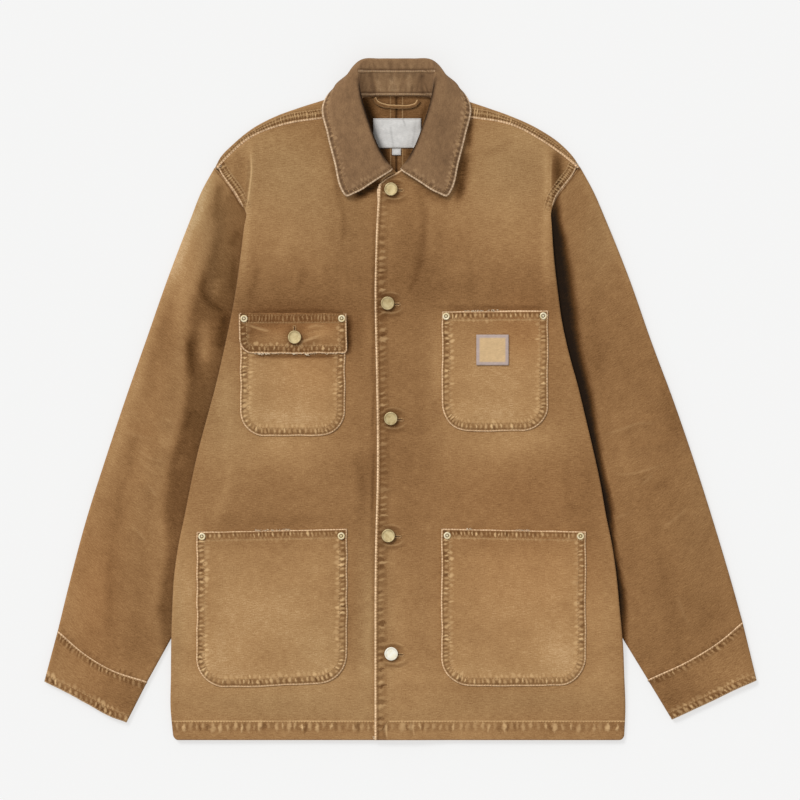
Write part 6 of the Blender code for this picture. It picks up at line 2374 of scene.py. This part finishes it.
@dataclass
class NeckPieces:
    """Inside the back neck: the hanger loop, the blank label and the blank size tag under it."""

    cloths: Cloths
    dark: Thread
    label_x: tuple[float, float] = (-32.4, 24.4)
    label_y: tuple[float, float] = (297.0, 332.0)
    tag_x: tuple[float, float] = (-10.0, 0.6)
    tag_y: tuple[float, float] = (288.5, 296.4)
    z: float = 1.9
    loop_z: float = 3.5
    loop_radius: float = 1.6
    loop_rings: int = 60
    loop_sides: int = 16
    loop_step: float = 1.1

    def label(self, node: str, x_span: Sequence[float], y_span: Sequence[float], step: float) -> None:
        """A blank woven label, crinkled by washing."""
        flat, outline = rounded_patch(x_span, y_span, SQUARE, step)
        x, y = flat[..., 0], flat[..., 1]
        line = closed_line(outline)
        # painted shadow of the collar's left leaf across the label's left end, and painted shade in three
        # crinkles
        shades = many(
            Stroke, (-48, 362, -13, 268, 3, -0.6), (2, 333, 6, 322, 1, -0.3), (-12, 322, -8, 296, 1.2, -0.2),
            (18, 330, 14, 298, 1.4, -0.16),
        )
        seam = Seam(line, (1.5,), relief=0.05, darker=0.0, seed=121)
        sewing = Sewing(fade(1.0, marks=shades), (seam,), plan=False)
        wear = sewing.wear(flat)
        inside = ease(nearest(flat, line)[0] / 5.0)
        crinkle = (0.45 * Drift(51, 9.0)(x, y) + 0.16 * Drift(52, 3.6)(x, y)) * inside
        grid = with_height(flat, self.z + LABEL_WALL + crinkle + 0.3 * inside)
        ClothPiece(node, grid, LABEL_WALL, self.cloths.label, wear).hand_over("back_left", slot="label_cloth")

    def loop(self) -> None:
        """The hanger loop: a narrow sewn tube, a circle carried along its route and flattened."""
        route = (
            (-31, 356), (-28, 351), (-21, 347.4), (-10, 345.8), (2, 345.4), (12, 346), (18.5, 348.6),
            (21.5, 353),
        )
        count, sides, up = self.loop_rings, self.loop_sides, np.array([0.0, 0.0, 1.0])
        line = with_height(points_along(route, count), np.full(count, self.loop_z))
        side = unit(np.cross(unit(np.gradient(line, axis=0)), up))
        turn = np.linspace(0.0, 2.0 * math.pi, sides + 1)[:-1]
        ring = np.cos(turn)[None, :, None] * side[:, None] * 1.55
        ring = ring + np.sin(turn)[None, :, None] * up * 0.9
        swell = 1.0 + 0.12 * Drift(61, 3.0)(np.arange(count) * self.loop_step)
        grid = line[:, None] + ring * self.loop_radius * swell[:, None, None]
        ends = np.concatenate([line[:1, None] + 0.0 * ring[:1], grid, line[-1:, None] + 0.0 * ring[-1:]])
        wear = Sewing(fade(0.3)).wear(ends[..., :2])
        made = mesh_of("hanger_loop_cloth", ends.reshape(-1, 3), grid_faces(len(ends), sides, closed=True))
        around = np.repeat(turn[None] * self.loop_radius, len(ends), axis=0)
        weave = pair(down_rows(np.arange(len(ends)) * self.loop_step, sides), around)
        # pale sides of the tube: rubbed folded edges, with painted highlight on the upper one, which faces
        # the key light
        upper = np.exp(-(((turn - 2.55) / 0.4) ** 2)) + 0.25 * np.exp(-(((turn - 0.5) / 0.4) ** 2))
        wear.worn = upper * np.ones((len(ends), 1))
        wear.hand_to(made)
        add_values(made, "weave", with_height(weave, np.zeros(1)))
        recalculated(made)
        piece = link(made, self.cloths.canvas)
        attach(piece, "root")
        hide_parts("hanger_loop")

    def build(self) -> None:
        """All three."""
        self.label("neck_label", self.label_x, self.label_y, 1.1)
        self.label("size_tag", self.tag_x, self.tag_y, 0.9)
        self.loop()


def recalculated(mesh: Mesh) -> None:
    """Merges doubled points and turns every face outwards."""
    shape = bmesh.new()
    shape.from_mesh(mesh)
    bmesh.ops.remove_doubles(shape, verts=shape.verts, dist=1e-6)
    bmesh.ops.recalc_face_normals(shape, faces=shape.faces)
    shape.to_mesh(mesh)
    shape.free()


# ---------------- metal


@dataclass(frozen=True)
class TurnedShape:
    """A round stamped piece: a profile of radius and height carried round its axis."""

    profile: tuple[tuple[float, float], ...]
    sides: int
    dark: tuple[tuple[float, float], ...]  # radius and share of darkening, strongest in its grooves and at its rim

    def points(self, place: Array, tilt: tuple[float, float]) -> tuple[Array, Array]:
        """Points and faces of the piece, standing at a place and leaning by two slopes."""
        radius, height = np.array(self.profile).T
        turn = np.linspace(0.0, 2.0 * math.pi, self.sides + 1)[:-1]
        x = radius[:, None] * np.cos(turn)[None]
        y = radius[:, None] * np.sin(turn)[None]
        z = height[:, None] + tilt[0] * x + tilt[1] * y
        grid = np.stack([x, y, z], axis=-1) + place
        return grid.reshape(-1, 3), grid_faces(len(radius), self.sides, closed=True)


BUTTON = TurnedShape(
    profile=(
        (0.0, 3.0), (2.2, 3.0), (4.6, 3.05), (5.8, 3.1), (6.5, 3.2), (6.9, 3.35), (7.3, 3.35), (7.7, 3.1),
        (7.95, 2.5), (8.0, 1.9), (7.8, 1.3), (7.2, 0.95), (3.8, 0.8), (3.1, 0.4), (3.1, -0.4), (0.0, -0.4),
    ),
    sides=40, dark=((0.0, 0.0), (4.6, 0.0), (5.8, 0.16), (6.5, 0.36), (6.9, 0.05), (7.7, 0.1), (8.0, 0.6)),
)
RIVET = TurnedShape(
    profile=(
        (0.0, 1.95), (0.7, 1.9), (1.25, 1.6), (1.5, 1.15), (2.1, 1.1), (2.6, 1.55), (3.3, 1.7), (3.9, 1.5),
        (4.3, 0.95), (4.4, 0.3), (4.4, -0.3), (0.0, -0.3),
    ),
    sides=24,
    dark=((0.0, 0.05), (0.7, 0.1), (1.25, 0.5), (1.5, 0.95), (2.1, 0.85), (2.6, 0.1), (3.9, 0.0), (4.3, 0.5)),
)


@dataclass
class Metalware:
    """Six brass buttons and eight rivets, with the buttonholes beside the buttons."""

    cloths: Cloths
    dark: Thread
    thread: Thread
    flap_button: tuple[float, float] = (-125.0, 73.6)
    tilts: tuple[tuple[float, float], ...] = (
        (0.03, -0.06), (-0.05, 0.02), (0.04, 0.05), (0.06, -0.03), (-0.06, 0.06), (0.02, -0.05),
    )
    rivets: tuple[tuple[float, float], ...] = (
        (-184.6, 95.4), (-69.4, 95.6), (53.8, 98.2), (168.4, 98.6), (-234.3, -161.6), (-70.0, -161.0),
        (55.2, -160.6), (212.4, -161.2),
    )
    hole_length: float = 19.0
    brightest: int = 5  # the button drawn near white: a painted reflection of the light on its face

    def turned(
        self, name: str, shape: TurnedShape, place: Array, tilt: tuple[float, float], finish: Material,
    ) -> None:
        """One round piece in place of its node."""
        points, faces = shape.points(place, tilt)
        mesh = mesh_of(f"{name}_metal", points, faces)
        recalculated(mesh)
        spots = np.empty(3 * len(mesh.vertices), np.float32)
        mesh.vertices.foreach_get("co", spots)
        away = np.hypot(*(spots.reshape(-1, 3)[:, :2] / MM - place[:2]).T)
        add_values(mesh, "shade", np.interp(away, *np.array(shape.dark).T))
        made = link(mesh, finish)
        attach(made, "root")
        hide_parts(name)

    def buttonhole(self, middle: Array, across: Array, length: float, face: Height) -> None:
        """A keyhole buttonhole: close stitches square to its slit, and a dark strand along the slit, painted
        shade in the cut.
        """
        run = across / np.linalg.norm(across)
        side, up = np.array([-run[1], run[0]]), np.array([0.0, 0.0, 0.35])
        at = np.arange(-length / 2.0, length / 2.0, 0.85)[:, None]
        for sign in (-1.0, 1.0):
            inner = middle + run * at + side * sign * 0.35
            outer = inner + side * sign * 1.8
            self.thread.between(laid(inner, face) + up, laid(outer, face) + up)
        turn = np.linspace(-2.0, 2.0, 8)[:, None]
        spoke = run * np.cos(turn) + side * np.sin(turn)
        end = middle + run * length / 2.0
        self.thread.between(laid(end + spoke * 0.9, face) + up, laid(end + spoke * 2.4, face) + up)
        slit = laid(middle + run * np.linspace(-0.5, 0.5, 7)[:, None] * length, face)
        slit += np.array([0.0, 0.0, 0.3])
        self.dark.between(slit[:-1], slit[1:])

    def build(self, flap_face: Height) -> None:
        """Buttons, buttonholes and rivets."""
        placket = partial(front_surface, Side.LEFT)
        for number, (x, y) in enumerate(BUTTONS, start=1):
            z = float(placket(np.array(x), np.array(y))) + LAID_GAP
            finish = self.cloths.polished_brass if number == self.brightest else self.cloths.brass
            self.turned(f"button_{number}", BUTTON, np.array([x, y, z]), self.tilts[number - 1], finish)
            self.buttonhole(np.array([x + 4.0, y - 0.8]), np.array([1.0, -0.06]), self.hole_length, placket)
        x, y = self.flap_button
        z = float(flap_face(np.array(x), np.array(y))) + LAID_GAP
        self.turned("flap_button", BUTTON, np.array([x, y, z]), self.tilts[-1], self.cloths.brass)
        self.buttonhole(np.array([x, y + 2.6]), np.array([0.0, 1.0]), self.hole_length, flap_face)
        for number, (x, y) in enumerate(self.rivets, start=1):
            pocket = next(p for p in POCKETS if p.x0 < x < p.x1 and p.bottom_y < y < p.top_y)
            here = np.array(x), np.array(y)
            face = flap_face(*here) if pocket.name == "chest_pocket_right" else pocket_face(pocket, *here)
            tilt = self.tilts[number % len(self.tilts)]
            place = np.array([x, y, float(face) + 0.3])
            self.turned(f"rivet_{number}", RIVET, place, tilt, self.cloths.bright_brass)


# ---------------- studio


@dataclass(frozen=True)
class Studio:
    """A plain pale floor under soft light, with the camera straight above."""

    scale: float = 1.18 * MM  # metres of the floor to one dot of an 800 by 800 picture
    distance: float = 8.0
    glow: float = 0.607
    sky: float = 0.63
    key_strength: float = 1.7
    key_turn: float = 128.0  # degrees from +X, towards +Y
    key_height: float = 46.0
    key_angle: float = 22.0
    floor_half: float = 12000.0
    floor_z: float = -0.6
    sensor: float = 36.0

    def floor(self) -> None:
        """A wide level floor just under the cloth, lit from within, so that hardly any shadow falls."""
        corners = ((-1, -1), (1, -1), (1, 1), (-1, 1))
        points = np.array([(x * self.floor_half, y * self.floor_half, self.floor_z) for x, y in corners])
        made, _, shader = blank("pale_light_table")
        feed(shader, {"Base Color": (0.3, 0.3, 0.298, 1.0), "Emission Color": (1.0, 1.0, 0.996, 1.0)})
        feed(shader, {"Emission Strength": self.glow, "Roughness": 0.95, "Specular IOR Level": 0.1})
        link(mesh_of("floor", points, np.array([[0, 1, 2, 3]])), made)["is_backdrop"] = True

    def light(self) -> None:
        """An even bright sky and one wide soft key light from the upper left."""
        world = bpy.data.worlds.new("soft_room")
        world.use_nodes = True
        feed(world.node_tree.nodes["Background"], {"Color": (1.0, 1.0, 1.0, 1.0), "Strength": self.sky})
        bpy.context.scene.world = world
        lamp = bpy.data.lights.new("key_light", "SUN")
        lamp.energy = self.key_strength
        lamp.angle = math.radians(self.key_angle)
        made = bpy.data.objects.new("key_light", lamp)
        turn, height = math.radians(self.key_turn), math.radians(self.key_height)
        level = math.cos(height)
        towards = Vector((math.cos(turn) * level, math.sin(turn) * level, math.sin(height)))
        made.rotation_euler = towards.to_track_quat("Z", "Y").to_euler()
        bpy.context.scene.collection.objects.link(made)

    def camera(self) -> None:
        """A long lens straight down: its focal length is the sensor times the distance over the view."""
        lens = bpy.data.cameras.new("view_camera")
        lens.sensor_width = self.sensor
        lens.lens = self.sensor * self.distance / (800.0 * self.scale)
        lens.clip_end = 60.0
        made = bpy.data.objects.new("view_camera", lens)
        made.location = (-0.5 * self.scale, -0.5 * self.scale, self.distance + 8.0 * MM)
        bpy.context.scene.collection.objects.link(made)
        bpy.context.scene.camera = made
        bpy.context.scene.view_settings.view_transform = "Standard"

    def build(self) -> None:
        """All of it."""
        self.floor()
        self.light()
        self.camera()


def corners() -> list[list[float]]:
    """The shown object's lowest and highest corner, in metres."""
    return [[round(float(value), 5) for value in corner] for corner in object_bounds()]


def main() -> None:
    """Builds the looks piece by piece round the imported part."""
    logging.basicConfig(level=logging.INFO, format="%(name)s: %(message)s")
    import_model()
    cloths = Cloths.build()
    thread = Thread("seam_stitches", cloths.thread)
    collar_thread = Thread("collar_stitches", cloths.thread, radius=0.32)
    fray = Thread("fray_tufts", cloths.fray, radius=0.3)
    # a dark strand along each buttonhole's slit: painted shade in the cut
    dark = Thread("buttonhole_slits", cloths.dark_thread, radius=0.45)
    backs, fronts = Backs(cloths, thread), Fronts(cloths, thread)
    sleeves, cuffs = Sleeves(cloths), Cuffs(cloths, thread)
    for side in Side:
        for parts in (backs, fronts, sleeves, cuffs):
            parts.build(side)
            LOG.info("%s %s done", side.label, type(parts).__name__)
    Collar(cloths, collar_thread).build()
    pockets = Pockets(cloths, thread, fray)
    pockets.build()
    NeckPieces(cloths, dark).build()
    Metalware(cloths, dark, thread).build(pockets.flap_face)
    for gathered in (thread, collar_thread, fray, dark):
        gathered.build("duck_canvas")
    Studio().build()


if __name__ == "__main__":
    main()
